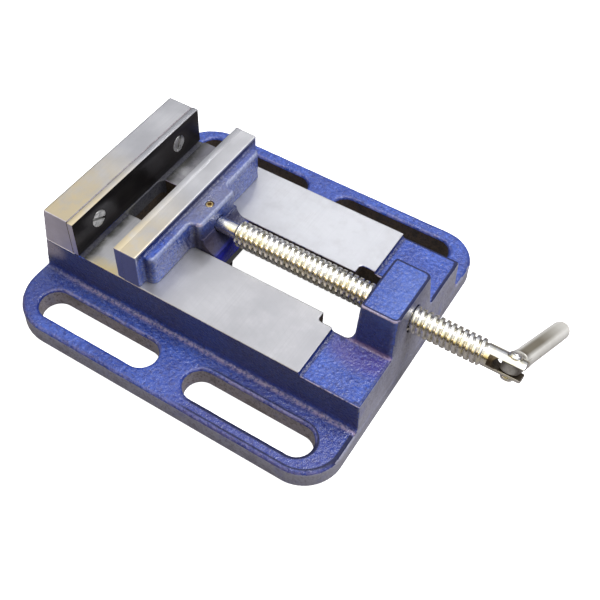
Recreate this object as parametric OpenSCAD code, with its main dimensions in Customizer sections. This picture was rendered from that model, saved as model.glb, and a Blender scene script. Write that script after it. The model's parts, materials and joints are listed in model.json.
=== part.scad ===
// Drill-press vise: flanged base, sliding jaw, screw spindle and folding handle.
// Origin: centre of the base's underside. +X runs from the fixed jaw towards the handle,
// +Y across the jaws, +Z up. All sizes are in millimetres.

/* [Base flange] */
// Length of the base along the spindle
base_length = 183.5; // [175:0.5:190]
// Width of the base over both flanges
base_width = 168; // [160:1:176]
// Thickness of the bolting flange
flange_thickness = 11.4; // [10:0.1:13]
// Corner radius at the fixed jaw end
front_corner_r = 25; // [20:1:28]
// Corner radius at the handle end
rear_corner_r = 20; // [16:1:24]

/* [Bolting slots] */
// Distance between slot centres along the spindle
slot_spacing_x = 87; // [85:0.5:88]
// Distance between slot centres across the base
slot_spacing_y = 135.6; // [134:0.2:137]
// Slot width
slot_width = 16.6; // [14:0.2:17]
// Slot length, end to end
slot_length = 69.5; // [60:0.5:71]

/* [Ways and jaws] */
// Width of the jaws and of the raised body
jaw_width = 100; // [98:1:102]
// Height of the ground ways above the underside
ways_height = 32.8; // [32:0.1:34]
// Height of the painted deck behind the ways
deck_height = 30.6; // [29.5:0.1:31]
// Height of the fixed jaw
jaw_height = 53.6; // [52:0.1:56]
// Thickness of the ways above the hollow
ways_thickness = 11.8; // [10:0.1:13]
// Width of the central slot between the ways
guide_width = 29.2; // [28:0.1:30]
// Width of the slot's rear end
guide_end_width = 40; // [38:0.5:41]
// Opening between the jaw plates as drawn
jaw_gap = 24.6; // [1:0.1:90]

/* [Jaw plates] */
// Thickness of a jaw plate
plate_thickness = 3.3; // [3:0.1:4]
// Distance between a plate's two screws
plate_screw_spacing = 64.4; // [60:0.2:70]
// Height of the plate screws above the underside
plate_screw_height = 43.1; // [42:0.1:44]

/* [Spindle] */
// Height of the spindle axis above the underside
spindle_height = 39.4; // [39:0.1:40]
// Diameter over the thread crests
thread_diameter = 13; // [12:0.1:13]
// Pitch of the thread
thread_pitch = 3; // [2.5:0.5:3]
// Diameter of the plain nose held in the moving jaw
nose_diameter = 8; // [7.5:0.1:8]
// Diameter of the forked end
fork_diameter = 11; // [11:0.1:11.4]
// Turn of the spindle about its axis as drawn, in degrees
spindle_roll = -30.2; // [-180:0.1:180]

/* [Handle] */
// Distance from the pin to the centre of the rounded tip
handle_reach = 68.8; // [60:0.1:80]
// Diameter of the handle bar
handle_diameter = 9.5; // [9:0.1:10]
// Angle between the handle and the spindle as drawn, in degrees
handle_fold = 83; // [-90:0.5:90]

/* [Hidden] */
$fn = 64;

// Gaps between pieces
eps = 0.01;
fit_gap = 0.05;
slide_gap = 0.15;
// How far joined shapes of one piece reach into each other, and how far a cut runs past a face
embed = 1;
past = 1;
// The two ends of a paired feature: across the jaws, and along the spindle
NEAR = -1;
FAR = 1;
FRONT = -1;
REAR = 1;

// Base, from the fixed jaw end (-X) to the handle end (+X)
base_front_x = -base_length / 2;
base_rear_x = base_length / 2;
half_jaw = jaw_width / 2;
fixed_plate_face_x = base_front_x + 25.75;
fixed_casting_face_x = fixed_plate_face_x - plate_thickness;
fixed_jaw_back_x = base_front_x + 7.75;
fixed_jaw_foot_x = base_front_x + 1.3;
ways_start_x = fixed_plate_face_x + 3;
ways_end_x = base_front_x + 151;
relief_height = ways_height - 0.8;
guide_start_x = fixed_plate_face_x + 0.6;
guide_widen_x = base_front_x + 143;
guide_end_x = base_front_x + 160.2;
guide_front_r = 3;
guide_neck_r = 0.5;
guide_shoulder_r = 2;
guide_rear_r = 3;
boss_front_x = base_front_x + 161.5;
boss_rear_top_x = base_rear_x - 2.6;
boss_top_half = 17;
boss_foot_half = 20.5;
boss_top_round = 2.2;
deck_rear_x = base_rear_x - 1.2;
body_rear_x = base_rear_x - 0.3;
hollow_front_x = guide_start_x + 2;
hollow_rear_x = base_rear_x - 12;
hollow_half = half_jaw - 9;
hollow_height = ways_height - ways_thickness;
hollow_corner_r = 8;
bore_r = thread_diameter / 2 + fit_gap;

// Jaw plates and their screws
plate_drop = 0.4;
plate_screw_r = 2.5;
plate_screw_head_r = 4.8;
plate_screw_head_h = 2.3;
plate_screw_length = 12;
plate_screw_slot_w = 1.2;
plate_screw_slot_d = 1;
tapped_depth = plate_screw_length + 1.5;

// Moving jaw, all measured from the gripping face of its plate
moving_face_x = fixed_plate_face_x + jaw_gap;
moving_top = jaw_height - 0.2;
moving_plate_bottom = ways_height + 1;
moving_plate_back_x = moving_face_x + plate_thickness;
moving_block_back_x = moving_face_x + 12.3;
wing_back_x = moving_face_x + 18;
wing_top = 50;
wing_half = 45;
wing_corner_r = 3.5;
jaw_boss_back_x = moving_face_x + 23.6;
jaw_boss_half = 15;
jaw_boss_corner_r = 3;
jaw_boss_fillet_r = 7;
tongue_front_x = moving_face_x + 3.6;
tongue_back_x = moving_face_x + 31.4;
tongue_half = guide_width / 2 - slide_gap;
tongue_bottom = hollow_height - slide_gap;

// Keep plate, bolts and washers under the ways
keep_thickness = 6;
keep_half = 30;
keep_front_x = tongue_front_x + 0.6;
keep_back_x = tongue_back_x - 1;
keep_top = tongue_bottom;
keep_bottom = keep_top - keep_thickness;
keep_bolt_r = 3;
keep_bolt_spacing = 14;
keep_bolt_depth = 8.5;
keep_bolt_head_across = 10;
keep_bolt_head_h = 4;
keep_washer_r = 5.2;
keep_washer_h = 1.6;
keep_washer_split = 1;
keep_hole_gap = 0.3;
keep_washer_gap = 0.2;
keep_mid_x = (keep_front_x + keep_back_x) / 2;

// Spindle, measured from the gripping face of the moving plate
nose_front_x = moving_face_x + 8;
nose_bore_x = nose_front_x - 0.8;
nose_chamfer = 0.6;
thread_start_x = moving_face_x + 34.9;
thread_turns = 44;
thread_depth = 1.5;
thread_root_r = thread_diameter / 2 - thread_depth;
thread_crest_flat = 1.1;
thread_root_flat = 1;
thread_flank = (thread_pitch - thread_crest_flat - thread_root_flat) / 2;
thread_end_x = thread_start_x + thread_turns * thread_pitch;
groove_centre_x = moving_face_x + 18.2;
groove_half = 1.75;
groove_r = 2.6;
pin_x = moving_face_x + 179.4;
fork_end_x = pin_x + 6.6;
fork_slot_start_x = pin_x - 7.6;
fork_slot_h = 5.2;
fork_chamfer = 0.8;
pin_r = 2.5;

// Retaining screw and handle
retaining_r = 2;
retaining_point_r = 1.5;
retaining_point_h = 3;
retaining_point_gap = 0.2;
retaining_sunk = 0.4;
retaining_socket_across = 2;
retaining_socket_depth = 1.6;
tongue_flat_h = 4.6;
handle_eye_r = 4.5;
handle_shoulder = 8.8;
pin_head_r = 3.4;
pin_head_seat = 4.9;
pin_head_h = 2;
pin_head_taper = 1;
pin_head_gap = 0.2;

module along_x(x0, x1, r, r_end = undef) {
    translate([x0, 0, 0])
        rotate([0, 90, 0])
            cylinder(h = x1 - x0, r1 = r, r2 = is_undef(r_end) ? r : r_end);
}

module box(x0, x1, half_y, z0, z1) {
    translate([x0, -half_y, z0])
        cube([x1 - x0, 2 * half_y, z1 - z0]);
}

// Plan rectangle with its own corner radius at each end along X
module round_plan(x0, x1, half_y, r0, r1) {
    difference() {
        translate([x0, -half_y])
            square([x1 - x0, 2 * half_y]);
        for (side = [-1, 1]) {
            if (r0 > 0)
                corner_waste(x0, side * half_y, 1, -side, r0);
            if (r1 > 0)
                corner_waste(x1, side * half_y, -1, -side, r1);
        }
    }
}

// What rounding cuts from a corner whose inside lies towards (dx, dy)
module corner_waste(x, y, dx, dy, r) {
    translate([x, y])
        difference() {
            translate([dx > 0 ? -eps : -r, dy > 0 ? -eps : -r])
                square(r + eps);
            translate([dx * r, dy * r])
                circle(r);
        }
}

// Outline given in X and Z, extruded evenly about Y = 0
module profile_xz(half_y) {
    rotate([90, 0, 0])
        translate([0, 0, -half_y])
            linear_extrude(2 * half_y)
                children();
}

module slot_plan(x, y) {
    reach = (slot_length - slot_width) / 2;
    translate([x - reach, y - slot_width / 2])
        square([2 * reach, slot_width]);
    for (end = [-1, 1])
        translate([x + end * reach, y])
            circle(d = slot_width);
}

// Points of an arc about (cx, cy) from angle a0 to a1
function arc(cx, cy, r, a0, a1, steps = 8) = [
    for (i = [0 : steps])
        let (a = a0 + (a1 - a0) * i / steps)
        [cx + r * cos(a), cy + r * sin(a)]
];

// Places its children at the hole of one plate screw, facing +X from x
module at_plate_screw(x, side, facing = 1) {
    translate([x, side * plate_screw_spacing / 2, plate_screw_height])
        turned(facing)
            children();
}

// Mirrors its children when they face -X
module turned(facing) {
    if (facing < 0)
        mirror([1, 0, 0])
            children();
    else
        children();
}

// Head, shank and slot of a countersunk screw whose head is flush with x = 0, facing +X
module plate_screw(slot_angle) {
    color("gainsboro")
        difference() {
            union() {
                along_x(-plate_screw_head_h, 0, plate_screw_r, plate_screw_head_r);
                along_x(-plate_screw_length, -plate_screw_head_h + eps, plate_screw_r);
            }
            rotate([slot_angle, 0, 0])
                translate([-plate_screw_slot_d, -plate_screw_slot_w / 2, -plate_screw_head_r - past])
                    cube([plate_screw_slot_d + past, plate_screw_slot_w, 2 * (plate_screw_head_r + past)]);
        }
}

// Countersunk hole through a plate, with room round the screw
module plate_screw_hole() {
    along_x(-plate_screw_head_h, eps, plate_screw_r + fit_gap, plate_screw_head_r + fit_gap);
    along_x(-tapped_depth, -plate_screw_head_h + eps, plate_screw_r + fit_gap);
}

module jaw_plate(x0, x1, z0, z1, face_x, facing, tint) {
    color(tint)
        difference() {
            box(x0, x1, half_jaw, z0, z1);
            for (side = [NEAR, FAR])
                at_plate_screw(face_x, side, facing)
                    plate_screw_hole();
        }
}

// Cross-section of the nut boss: sides that lean in and a rounded top
module boss_section() {
    lean = atan((boss_foot_half - boss_top_half) / (moving_top - deck_height));
    polygon(concat(
        [[boss_foot_half, deck_height], [boss_foot_half, embed]],
        [[-boss_foot_half, embed], [-boss_foot_half, deck_height]],
        arc(-boss_top_half + boss_top_round, moving_top - boss_top_round, boss_top_round, 180 - lean, 90),
        arc(boss_top_half - boss_top_round, moving_top - boss_top_round, boss_top_round, 90, lean)
    ));
}

module base_casting() {
    color("royalblue")
        difference() {
            union() {
                linear_extrude(flange_thickness)
                    round_plan(base_front_x, base_rear_x, base_width / 2, front_corner_r, rear_corner_r);
                profile_xz(half_jaw)
                    polygon([
                        [fixed_jaw_foot_x, embed],
                        [fixed_jaw_foot_x, flange_thickness],
                        [fixed_jaw_back_x, jaw_height],
                        [fixed_casting_face_x, jaw_height],
                        [fixed_casting_face_x, relief_height],
                        [ways_start_x, relief_height],
                        [ways_start_x, ways_height],
                        [ways_end_x, ways_height],
                        [ways_end_x, deck_height],
                        [deck_rear_x, deck_height],
                        [body_rear_x, flange_thickness],
                        [body_rear_x, embed]
                    ]);
                nut_boss();
            }
            for (i = [-1, 1], j = [-1, 1])
                translate([0, 0, -past])
                    linear_extrude(flange_thickness + 2 * past)
                        slot_plan(i * slot_spacing_x / 2, j * slot_spacing_y / 2);
            guide_slot();
            translate([0, 0, -past])
                linear_extrude(hollow_height + past)
                    round_plan(hollow_front_x, hollow_rear_x, hollow_half, hollow_corner_r, hollow_corner_r);
            translate([0, 0, spindle_height])
                along_x(boss_front_x - past, base_rear_x + past, bore_r);
            for (side = [NEAR, FAR])
                at_plate_screw(fixed_plate_face_x, side)
                    plate_screw_hole();
        }
}

module nut_boss() {
    intersection() {
        translate([boss_front_x, 0, 0])
            rotate([90, 0, 90])
                linear_extrude(base_rear_x - boss_front_x)
                    boss_section();
        profile_xz(half_jaw)
            polygon([
                [boss_front_x, embed],
                [boss_front_x, moving_top],
                [boss_rear_top_x, moving_top],
                [deck_rear_x, deck_height],
                [deck_rear_x, embed]
            ]);
    }
}

module guide_slot() {
    translate([0, 0, -past])
        linear_extrude(ways_height + 2 * past) {
            round_plan(guide_start_x, guide_end_x, guide_width / 2, guide_front_r, guide_neck_r);
            round_plan(guide_widen_x, guide_end_x, guide_end_width / 2, guide_shoulder_r, guide_rear_r);
        }
}

module fixed_jaw_plate() {
    jaw_plate(fixed_casting_face_x, fixed_plate_face_x, relief_height + plate_drop, jaw_height,
              fixed_plate_face_x, 1, "dimgray");
}

module fixed_jaw_screw_near() {
    at_plate_screw(fixed_plate_face_x, NEAR)
        plate_screw(slot_angle = 40);
}

module fixed_jaw_screw_far() {
    at_plate_screw(fixed_plate_face_x, FAR)
        plate_screw(slot_angle = -25);
}

module moving_jaw_casting() {
    foot_z = ways_height + fit_gap;
    color("royalblue")
        difference() {
            union() {
                box(moving_plate_back_x, moving_block_back_x, half_jaw, foot_z, moving_top);
                translate([0, 0, foot_z])
                    linear_extrude(wing_top - foot_z) {
                        round_plan(moving_block_back_x - embed, wing_back_x, wing_half, 0, wing_corner_r);
                        round_plan(wing_back_x - embed, jaw_boss_back_x, jaw_boss_half, 0, jaw_boss_corner_r);
                    }
                profile_xz(tongue_half)
                    polygon(concat(
                        [[tongue_front_x, foot_z + embed], [tongue_front_x, tongue_bottom]],
                        [[tongue_back_x, tongue_bottom]],
                        arc(tongue_back_x, ways_height + jaw_boss_fillet_r, jaw_boss_fillet_r, 270, 180),
                        [[jaw_boss_back_x - embed, ways_height + jaw_boss_fillet_r]]
                    ));
            }
            translate([0, 0, spindle_height])
                along_x(nose_bore_x, tongue_back_x + past, nose_diameter / 2 + fit_gap);
            translate([groove_centre_x, 0, spindle_height])
                cylinder(h = wing_top, r = retaining_r + fit_gap);
            for (side = [NEAR, FAR])
                at_plate_screw(moving_face_x, side, -1)
                    plate_screw_hole();
            for (end = [FRONT, REAR])
                translate([keep_mid_x + end * keep_bolt_spacing / 2, 0, tongue_bottom - past])
                    cylinder(h = keep_bolt_depth + 2 * past, r = keep_bolt_r + fit_gap);
        }
}

module moving_jaw_plate() {
    jaw_plate(moving_face_x, moving_plate_back_x, moving_plate_bottom, moving_top,
              moving_face_x, -1, "silver");
}

module moving_jaw_screw_near() {
    at_plate_screw(moving_face_x, NEAR, -1)
        plate_screw(slot_angle = 15);
}

module moving_jaw_screw_far() {
    at_plate_screw(moving_face_x, FAR, -1)
        plate_screw(slot_angle = 70);
}

module keep_plate() {
    color("slategray")
        difference() {
            box(keep_front_x, keep_back_x, keep_half, keep_bottom, keep_top);
            for (end = [FRONT, REAR])
                translate([keep_mid_x + end * keep_bolt_spacing / 2, 0, keep_bottom - past])
                    cylinder(h = keep_thickness + 2 * past, r = keep_bolt_r + keep_hole_gap);
        }
}

// Hexagon bolt with its washer face at the underside of the spring washer
module keep_bolt(end) {
    seat = keep_bottom - keep_washer_h;
    color("dimgray")
        translate([keep_mid_x + end * keep_bolt_spacing / 2, 0, seat - keep_bolt_head_h]) {
            cylinder(h = keep_bolt_head_h, d = keep_bolt_head_across / cos(30), $fn = 6);
            cylinder(h = keep_bolt_head_h + keep_washer_h + keep_thickness + keep_bolt_depth,
                     r = keep_bolt_r);
        }
}

module keep_bolt_front() {
    keep_bolt(FRONT);
}

module keep_bolt_rear() {
    keep_bolt(REAR);
}

// Split spring washer
module keep_washer(end) {
    color("gray")
        translate([keep_mid_x + end * keep_bolt_spacing / 2, 0, keep_bottom - keep_washer_h])
            difference() {
                cylinder(h = keep_washer_h, r = keep_washer_r);
                translate([0, 0, -past])
                    cylinder(h = keep_washer_h + 2 * past, r = keep_bolt_r + keep_washer_gap);
                translate([0, -keep_washer_split / 2, -past])
                    cube([keep_washer_r + past, keep_washer_split, keep_washer_h + 2 * past]);
            }
}

module keep_washer_front() {
    keep_washer(FRONT);
}

module keep_washer_rear() {
    keep_washer(REAR);
}

// One thread ridge, as points of radius and place along the spindle
function ridge(x) = [
    [thread_root_r, x + thread_root_flat / 2],
    [thread_diameter / 2, x + thread_root_flat / 2 + thread_flank],
    [thread_diameter / 2, x + thread_root_flat / 2 + thread_flank + thread_crest_flat],
    [thread_root_r, x + thread_pitch - thread_root_flat / 2]
];

// Half outline of the spindle: nose, groove, thread and forked end
function spindle_outline() = concat(
    [[0, nose_front_x], [nose_diameter / 2 - nose_chamfer, nose_front_x]],
    [[nose_diameter / 2, nose_front_x + nose_chamfer]],
    [[nose_diameter / 2, groove_centre_x - groove_half]],
    [[groove_r, groove_centre_x - groove_half], [groove_r, groove_centre_x + groove_half]],
    [[nose_diameter / 2, groove_centre_x + groove_half], [nose_diameter / 2, thread_start_x]],
    [[thread_root_r, thread_start_x]],
    [for (i = [0 : thread_turns - 1]) each ridge(thread_start_x + i * thread_pitch)],
    [[thread_root_r, thread_end_x], [fork_diameter / 2, thread_end_x]],
    [[fork_diameter / 2, fork_end_x - fork_chamfer]],
    [[fork_diameter / 2 - fork_chamfer, fork_end_x], [0, fork_end_x]]
);

// Turns its children with the spindle as drawn
module on_spindle() {
    translate([0, 0, spindle_height])
        rotate([spindle_roll, 0, 0])
            children();
}

module spindle() {
    color("silver")
        on_spindle()
            difference() {
                rotate([0, 90, 0])
                    rotate_extrude()
                        polygon(spindle_outline());
                translate([fork_slot_start_x + fork_slot_h / 2, -fork_diameter, -fork_slot_h / 2])
                    cube([fork_diameter * 2, fork_diameter * 2, fork_slot_h]);
                translate([fork_slot_start_x + fork_slot_h / 2, 0, 0])
                    rotate([90, 0, 0])
                        cylinder(h = 2 * fork_diameter, d = fork_slot_h, center = true);
                translate([pin_x, 0, 0])
                    cylinder(h = 2 * fork_diameter, r = pin_r + eps, center = true);
                for (side = [0, 1])
                    mirror([0, 0, side])
                        translate([pin_x, 0, pin_head_seat])
                            cylinder(h = fork_diameter, r = pin_head_r + pin_head_gap);
            }
}

// Grub screw with a hexagon socket and a plain point in the spindle's groove
module spindle_retaining_screw() {
    point_z = spindle_height + groove_r + retaining_point_gap;
    head_z = wing_top - retaining_sunk;
    color("darkgoldenrod")
        translate([groove_centre_x, 0, 0])
            difference() {
                union() {
                    translate([0, 0, point_z])
                        cylinder(h = retaining_point_h, r = retaining_point_r);
                    translate([0, 0, point_z + retaining_point_h - eps])
                        cylinder(h = head_z - point_z - retaining_point_h + eps, r = retaining_r);
                }
                translate([0, 0, head_z - retaining_socket_depth])
                    cylinder(h = retaining_socket_depth + past,
                             d = retaining_socket_across / cos(30), $fn = 6);
            }
}

module handle_pin() {
    color("gainsboro")
        on_spindle()
            translate([pin_x, 0, 0]) {
                cylinder(h = 2 * (pin_head_seat + eps), r = pin_r, center = true);
                for (side = [0, 1])
                    mirror([0, 0, side])
                        translate([0, 0, pin_head_seat])
                            cylinder(h = pin_head_h, r1 = pin_head_r, r2 = pin_head_r - pin_head_taper);
            }
}

// Round bar with a domed tip and a flat tongue with an eye for the pin
module handle() {
    bar_r = handle_diameter / 2;
    color("silver")
        on_spindle()
            translate([pin_x, 0, 0])
                rotate([0, 0, handle_fold])
                    difference() {
                        union() {
                            along_x(handle_shoulder, handle_reach, bar_r);
                            translate([handle_reach, 0, 0])
                                sphere(r = bar_r);
                            translate([0, -handle_eye_r, -tongue_flat_h / 2])
                                cube([handle_shoulder + embed, 2 * handle_eye_r, tongue_flat_h]);
                            cylinder(h = tongue_flat_h, r = handle_eye_r, center = true);
                        }
                        cylinder(h = 4 * bar_r, r = pin_r + fit_gap, center = true);
                    }
}

base_casting();
fixed_jaw_plate();
fixed_jaw_screw_near();
fixed_jaw_screw_far();
moving_jaw_casting();
moving_jaw_plate();
moving_jaw_screw_near();
moving_jaw_screw_far();
keep_plate();
keep_bolt_front();
keep_bolt_rear();
keep_washer_front();
keep_washer_rear();
spindle();
spindle_retaining_screw();
handle_pin();
handle();
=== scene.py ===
import json
import math

import bmesh
import bpy
import numpy as np
from mathutils import Euler, Matrix, Vector

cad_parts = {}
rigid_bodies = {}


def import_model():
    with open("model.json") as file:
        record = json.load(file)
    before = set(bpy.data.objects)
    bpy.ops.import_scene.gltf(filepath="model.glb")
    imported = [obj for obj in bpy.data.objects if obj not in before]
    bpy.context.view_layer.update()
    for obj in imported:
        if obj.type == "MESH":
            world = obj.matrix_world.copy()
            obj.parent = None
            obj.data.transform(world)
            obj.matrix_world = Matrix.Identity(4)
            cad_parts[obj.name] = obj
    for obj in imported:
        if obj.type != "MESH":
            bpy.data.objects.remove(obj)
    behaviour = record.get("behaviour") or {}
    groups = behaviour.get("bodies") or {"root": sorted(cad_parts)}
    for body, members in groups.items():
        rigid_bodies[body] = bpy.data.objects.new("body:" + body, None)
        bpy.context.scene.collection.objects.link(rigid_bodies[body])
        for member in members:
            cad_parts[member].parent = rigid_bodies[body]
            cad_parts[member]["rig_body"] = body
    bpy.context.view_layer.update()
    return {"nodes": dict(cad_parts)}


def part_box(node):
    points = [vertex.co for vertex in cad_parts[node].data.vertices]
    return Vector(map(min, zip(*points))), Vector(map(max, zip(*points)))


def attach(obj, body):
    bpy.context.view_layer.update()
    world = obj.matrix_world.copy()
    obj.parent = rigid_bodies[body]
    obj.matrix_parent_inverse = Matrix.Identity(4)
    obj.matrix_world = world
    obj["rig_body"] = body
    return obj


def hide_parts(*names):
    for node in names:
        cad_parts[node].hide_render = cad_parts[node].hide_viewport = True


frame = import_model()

MM = 0.001
RANDOM = np.random.default_rng(7)

# ---------------------------------------------------------------- sizes, in millimetres


def box_mm(node):
    """Lowest and highest corner of a CAD node, in millimetres."""
    low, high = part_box(node)
    return np.array(low) / MM, np.array(high) / MM


BASE_LOW, BASE_HIGH = box_mm("base_casting")
FIXED_PLATE_LOW, FIXED_PLATE_HIGH = box_mm("fixed_jaw_plate")
MOVING_PLATE_LOW, MOVING_PLATE_HIGH = box_mm("moving_jaw_plate")
SPINDLE_LOW, SPINDLE_HIGH = box_mm("spindle")
KEEP_LOW, KEEP_HIGH = box_mm("keep_plate")

# Base casting. The relief is the lowered strip in front of the fixed jaw's plate, and the ledge is
# where the fixed jaw's ground ends stop. The guide is the slot that the moving jaw's tongue runs in.
FLANGE_TOP = 11.4
FRONT_CORNER_R = 25
REAR_CORNER_R = 20
FOOT_R = 2.2
HALF_JAW = 50
JAW_TOP = BASE_HIGH[2]
WAYS_TOP = 32.8
DECK_TOP = 30.6
RELIEF_TOP = 32.0
LEDGE_Z = 31.6
STRIP_FOOT = 23.5
FRONT_X = BASE_LOW[0]
REAR_X = BASE_HIGH[0]
PLATE_FACE_X = FIXED_PLATE_HIGH[0]
PLATE_BACK_X = FIXED_PLATE_LOW[0]
WAYS_START_X = PLATE_FACE_X + 3
WAYS_END_X = FRONT_X + 151
BOSS_FRONT_X = FRONT_X + 161.5
BOSS_TOP = JAW_TOP - 0.2
BOSS_TOP_HALF = 17
BOSS_FOOT_HALF = 20.5
BOSS_LEAN = (BOSS_FOOT_HALF - BOSS_TOP_HALF) / (BOSS_TOP - DECK_TOP)
JAW_FRONT_SLOPE = 0.153
FOUR_CORNERS = [(-1, -1), (-1, 1), (1, -1), (1, 1)]
SLOT_AT = (43.5, 67.8)
SLOT_SIZE = (69.5, 16.6)
GUIDE_HALF = 14.6
GUIDE_END_X = FRONT_X + 160.2
GUIDE_WIDE_X = FRONT_X + 143
GUIDE_WIDE_HALF = 20
HOLLOW_FRONT_X = PLATE_FACE_X + 2.6
HOLLOW_END_X = REAR_X - 12
HOLLOW_HALF = HALF_JAW - 9
HOLLOW_TOP = 21
SPINDLE_Z = 39.4
SPINDLE_BORE_R = 6.55
BORE_START_X = 68
PLATE_SCREW_Y = 32.2
PLATE_SCREW_Z = 43.1
TAPPED_R = 2.55
TAPPED_DEPTH = 13.5

# Moving jaw, from the gripping face of its plate
FACE_X = MOVING_PLATE_LOW[0]
BLOCK_FRONT_X = MOVING_PLATE_HIGH[0]
BLOCK_BACK_X = FACE_X + 12.3
WING_BACK_X = FACE_X + 18
WING_TOP = 50
JAW_BOSS_BACK_X = FACE_X + 23.6
JAW_FOOT = WAYS_TOP + 0.05
TONGUE_FRONT_X = FACE_X + 3.6
TONGUE_BACK_X = FACE_X + 31.4
TONGUE_FOOT = HOLLOW_TOP - 0.15
TONGUE_FILLET = 7
NOSE_BORE_R = 4.05
GRUB_X = FACE_X + 18.2
GRUB_HOLE_R = 2.05
KEEP_HOLE_R = 3.3
KEEP_BOLT_HOLE_R = 3.05
KEEP_BOLT_HOLE_TOP = HOLLOW_TOP + 8.4
KEEP_BOLT_X = [(KEEP_LOW[0] + KEEP_HIGH[0]) / 2 + side * 7 for side in (-1, 1)]

# Spindle, pin and handle
NOSE_FRONT_X = SPINDLE_LOW[0]
THREAD_START_X = FACE_X + 34.9
THREAD_PITCH = 3
THREAD_TURNS = 44
THREAD_R = 6.5
ROOT_R = 5.0
THREAD_END_X = THREAD_START_X + THREAD_PITCH * THREAD_TURNS
FORK_END_X = SPINDLE_HIGH[0]
PIN_X = FORK_END_X - 6.6
FORK_R = 5.5
FORK_SLOT = 5.2
FORK_SLOT_X = PIN_X - 7.6
SPINDLE_ROLL = math.radians(-30.2)
HANDLE_FOLD = math.radians(83)
HANDLE_REACH = 68.7
HANDLE_R = 4.75
HANDLE_BAR_X = 8.8
HANDLE_TONGUE_R = 4.5
HANDLE_TONGUE_END_X = 14
HANDLE_TONGUE_HALF = 2.3
FORK_BORE_R = 2.52
HANDLE_BORE_R = 2.55
PIN_HEAD_X = 4.9
PIN_SEAT_R = 3.6

# Bolts of the keep plate
BOLT_HEAD = 4.0
BOLT_FLATS = 10.0

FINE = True
SEGMENTS = 64 if FINE else 32


# ---------------------------------------------------------------- signed distance shapes


def length2(a, b):
    return np.sqrt(a * a + b * b)


def round_or(a, b, r):
    """Union of two shapes with a fillet of radius r in the corner between them."""
    return np.maximum(r, np.minimum(a, b)) - length2(np.maximum(r - a, 0), np.maximum(r - b, 0))


def round_and(a, b, r):
    """Intersection of two shapes with their common edge rounded to radius r."""
    return np.minimum(-r, np.maximum(a, b)) + length2(np.maximum(r + a, 0), np.maximum(r + b, 0))


def round_cut(a, b, r):
    """Shape a with b cut out of it and the edge of the cut rounded."""
    return round_and(a, -b, r)


def round_plan(x, y, x0, x1, half_y, r0, r1):
    """Rectangle in plan with corner radius r0 at its -X end and r1 at its +X end."""
    mid = (x0 + x1) / 2
    r = np.where(x < mid, r0, r1)
    qx = np.abs(x - mid) - (x1 - x0) / 2 + r
    qy = np.abs(y) - half_y + r
    return np.minimum(np.maximum(qx, qy), 0) + length2(np.maximum(qx, 0), np.maximum(qy, 0)) - r


def slot_plan(x, y, cx, cy, long, wide):
    """Round-ended slot in plan, along X."""
    reach = (long - wide) / 2
    return length2(np.maximum(np.abs(x - cx) - reach, 0), y - cy) - wide / 2


def filleted(corners, steps=5):
    """Points of a polygon given as (x, y, radius) corners, with each corner turned into an arc."""
    points = []
    count = len(corners)
    for i, (x, y, r) in enumerate(corners):
        here = np.array([x, y], float)
        to_last = np.array(corners[i - 1][:2]) - here
        to_next = np.array(corners[(i + 1) % count][:2]) - here
        to_last /= np.linalg.norm(to_last)
        to_next /= np.linalg.norm(to_next)
        half = math.acos(np.clip(to_last @ to_next, -1, 1)) / 2
        if r <= 0 or half > math.pi / 2 - 0.01:
            points.append(here)
            continue
        bisector = (to_last + to_next) / np.linalg.norm(to_last + to_next)
        centre = here + bisector * r / math.sin(half)
        start = here + to_last * r / math.tan(half) - centre
        end = here + to_next * r / math.tan(half) - centre
        turn = math.atan2(start[0] * end[1] - start[1] * end[0], start @ end)
        for k in range(steps + 1):
            a = turn * k / steps
            spin = np.array([[math.cos(a), -math.sin(a)], [math.sin(a), math.cos(a)]])
            points.append(centre + spin @ start)
    return np.array(points)


def polygon(u, v, points):
    """Signed distance to a closed polygon in the plane."""
    u, v = np.broadcast_arrays(u, v)
    nearest = np.full(u.shape, np.inf)
    inside = np.zeros(u.shape, bool)
    for (ax, ay), (bx, by) in zip(points, np.roll(points, 1, axis=0)):
        ex, ey = bx - ax, by - ay
        wu, wv = u - ax, v - ay
        t = np.clip((wu * ex + wv * ey) / max(ex * ex + ey * ey, 1e-12), 0, 1)
        nearest = np.minimum(nearest, (wu - t * ex) ** 2 + (wv - t * ey) ** 2)
        crosses = (v >= ay) != (v >= by)
        if ay != by:
            inside ^= crosses & (wu < ex * wv / ey)
    return np.where(inside, -1, 1) * np.sqrt(nearest)


def cylinder_x(x, y, z, r, cy=0.0, cz=SPINDLE_Z):
    return length2(y - cy, z - cz) - r + 0 * x


# ---------------------------------------------------------------- meshes and objects


def linked(name, data):
    """New object of some data, in the scene."""
    ob = bpy.data.objects.new(name, data)
    bpy.context.scene.collection.objects.link(ob)
    return ob


def points_of(mesh):
    """The mesh's vertices, one row each."""
    p = np.empty(len(mesh.vertices) * 3)
    mesh.vertices.foreach_get("co", p)
    return p.reshape(-1, 3)


def set_attribute(mesh, label, values):
    attribute = mesh.attributes.new(label, "FLOAT", "POINT")
    attribute.data.foreach_set("value", values.astype(np.float32))


def set_points(mesh, p):
    """Moves the vertices to points given in millimetres, and shades the mesh smooth."""
    mesh.vertices.foreach_set("co", (p * MM).astype(np.float32).ravel())
    mesh.update()
    mesh.shade_smooth()


def applied(ob, *helpers):
    """The object's mesh with its modifiers applied. The object and its helpers are removed."""
    evaluated = ob.evaluated_get(bpy.context.evaluated_depsgraph_get())
    result = bpy.data.meshes.new_from_object(evaluated)
    for used in (ob, *helpers):
        bpy.data.objects.remove(used)
    return result


def mesh_from(bm, name):
    """New mesh of a bmesh, which is freed."""
    mesh = bpy.data.meshes.new(name)
    bm.to_mesh(mesh)
    bm.free()
    return mesh


# ---------------------------------------------------------------- meshing a signed distance shape

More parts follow.
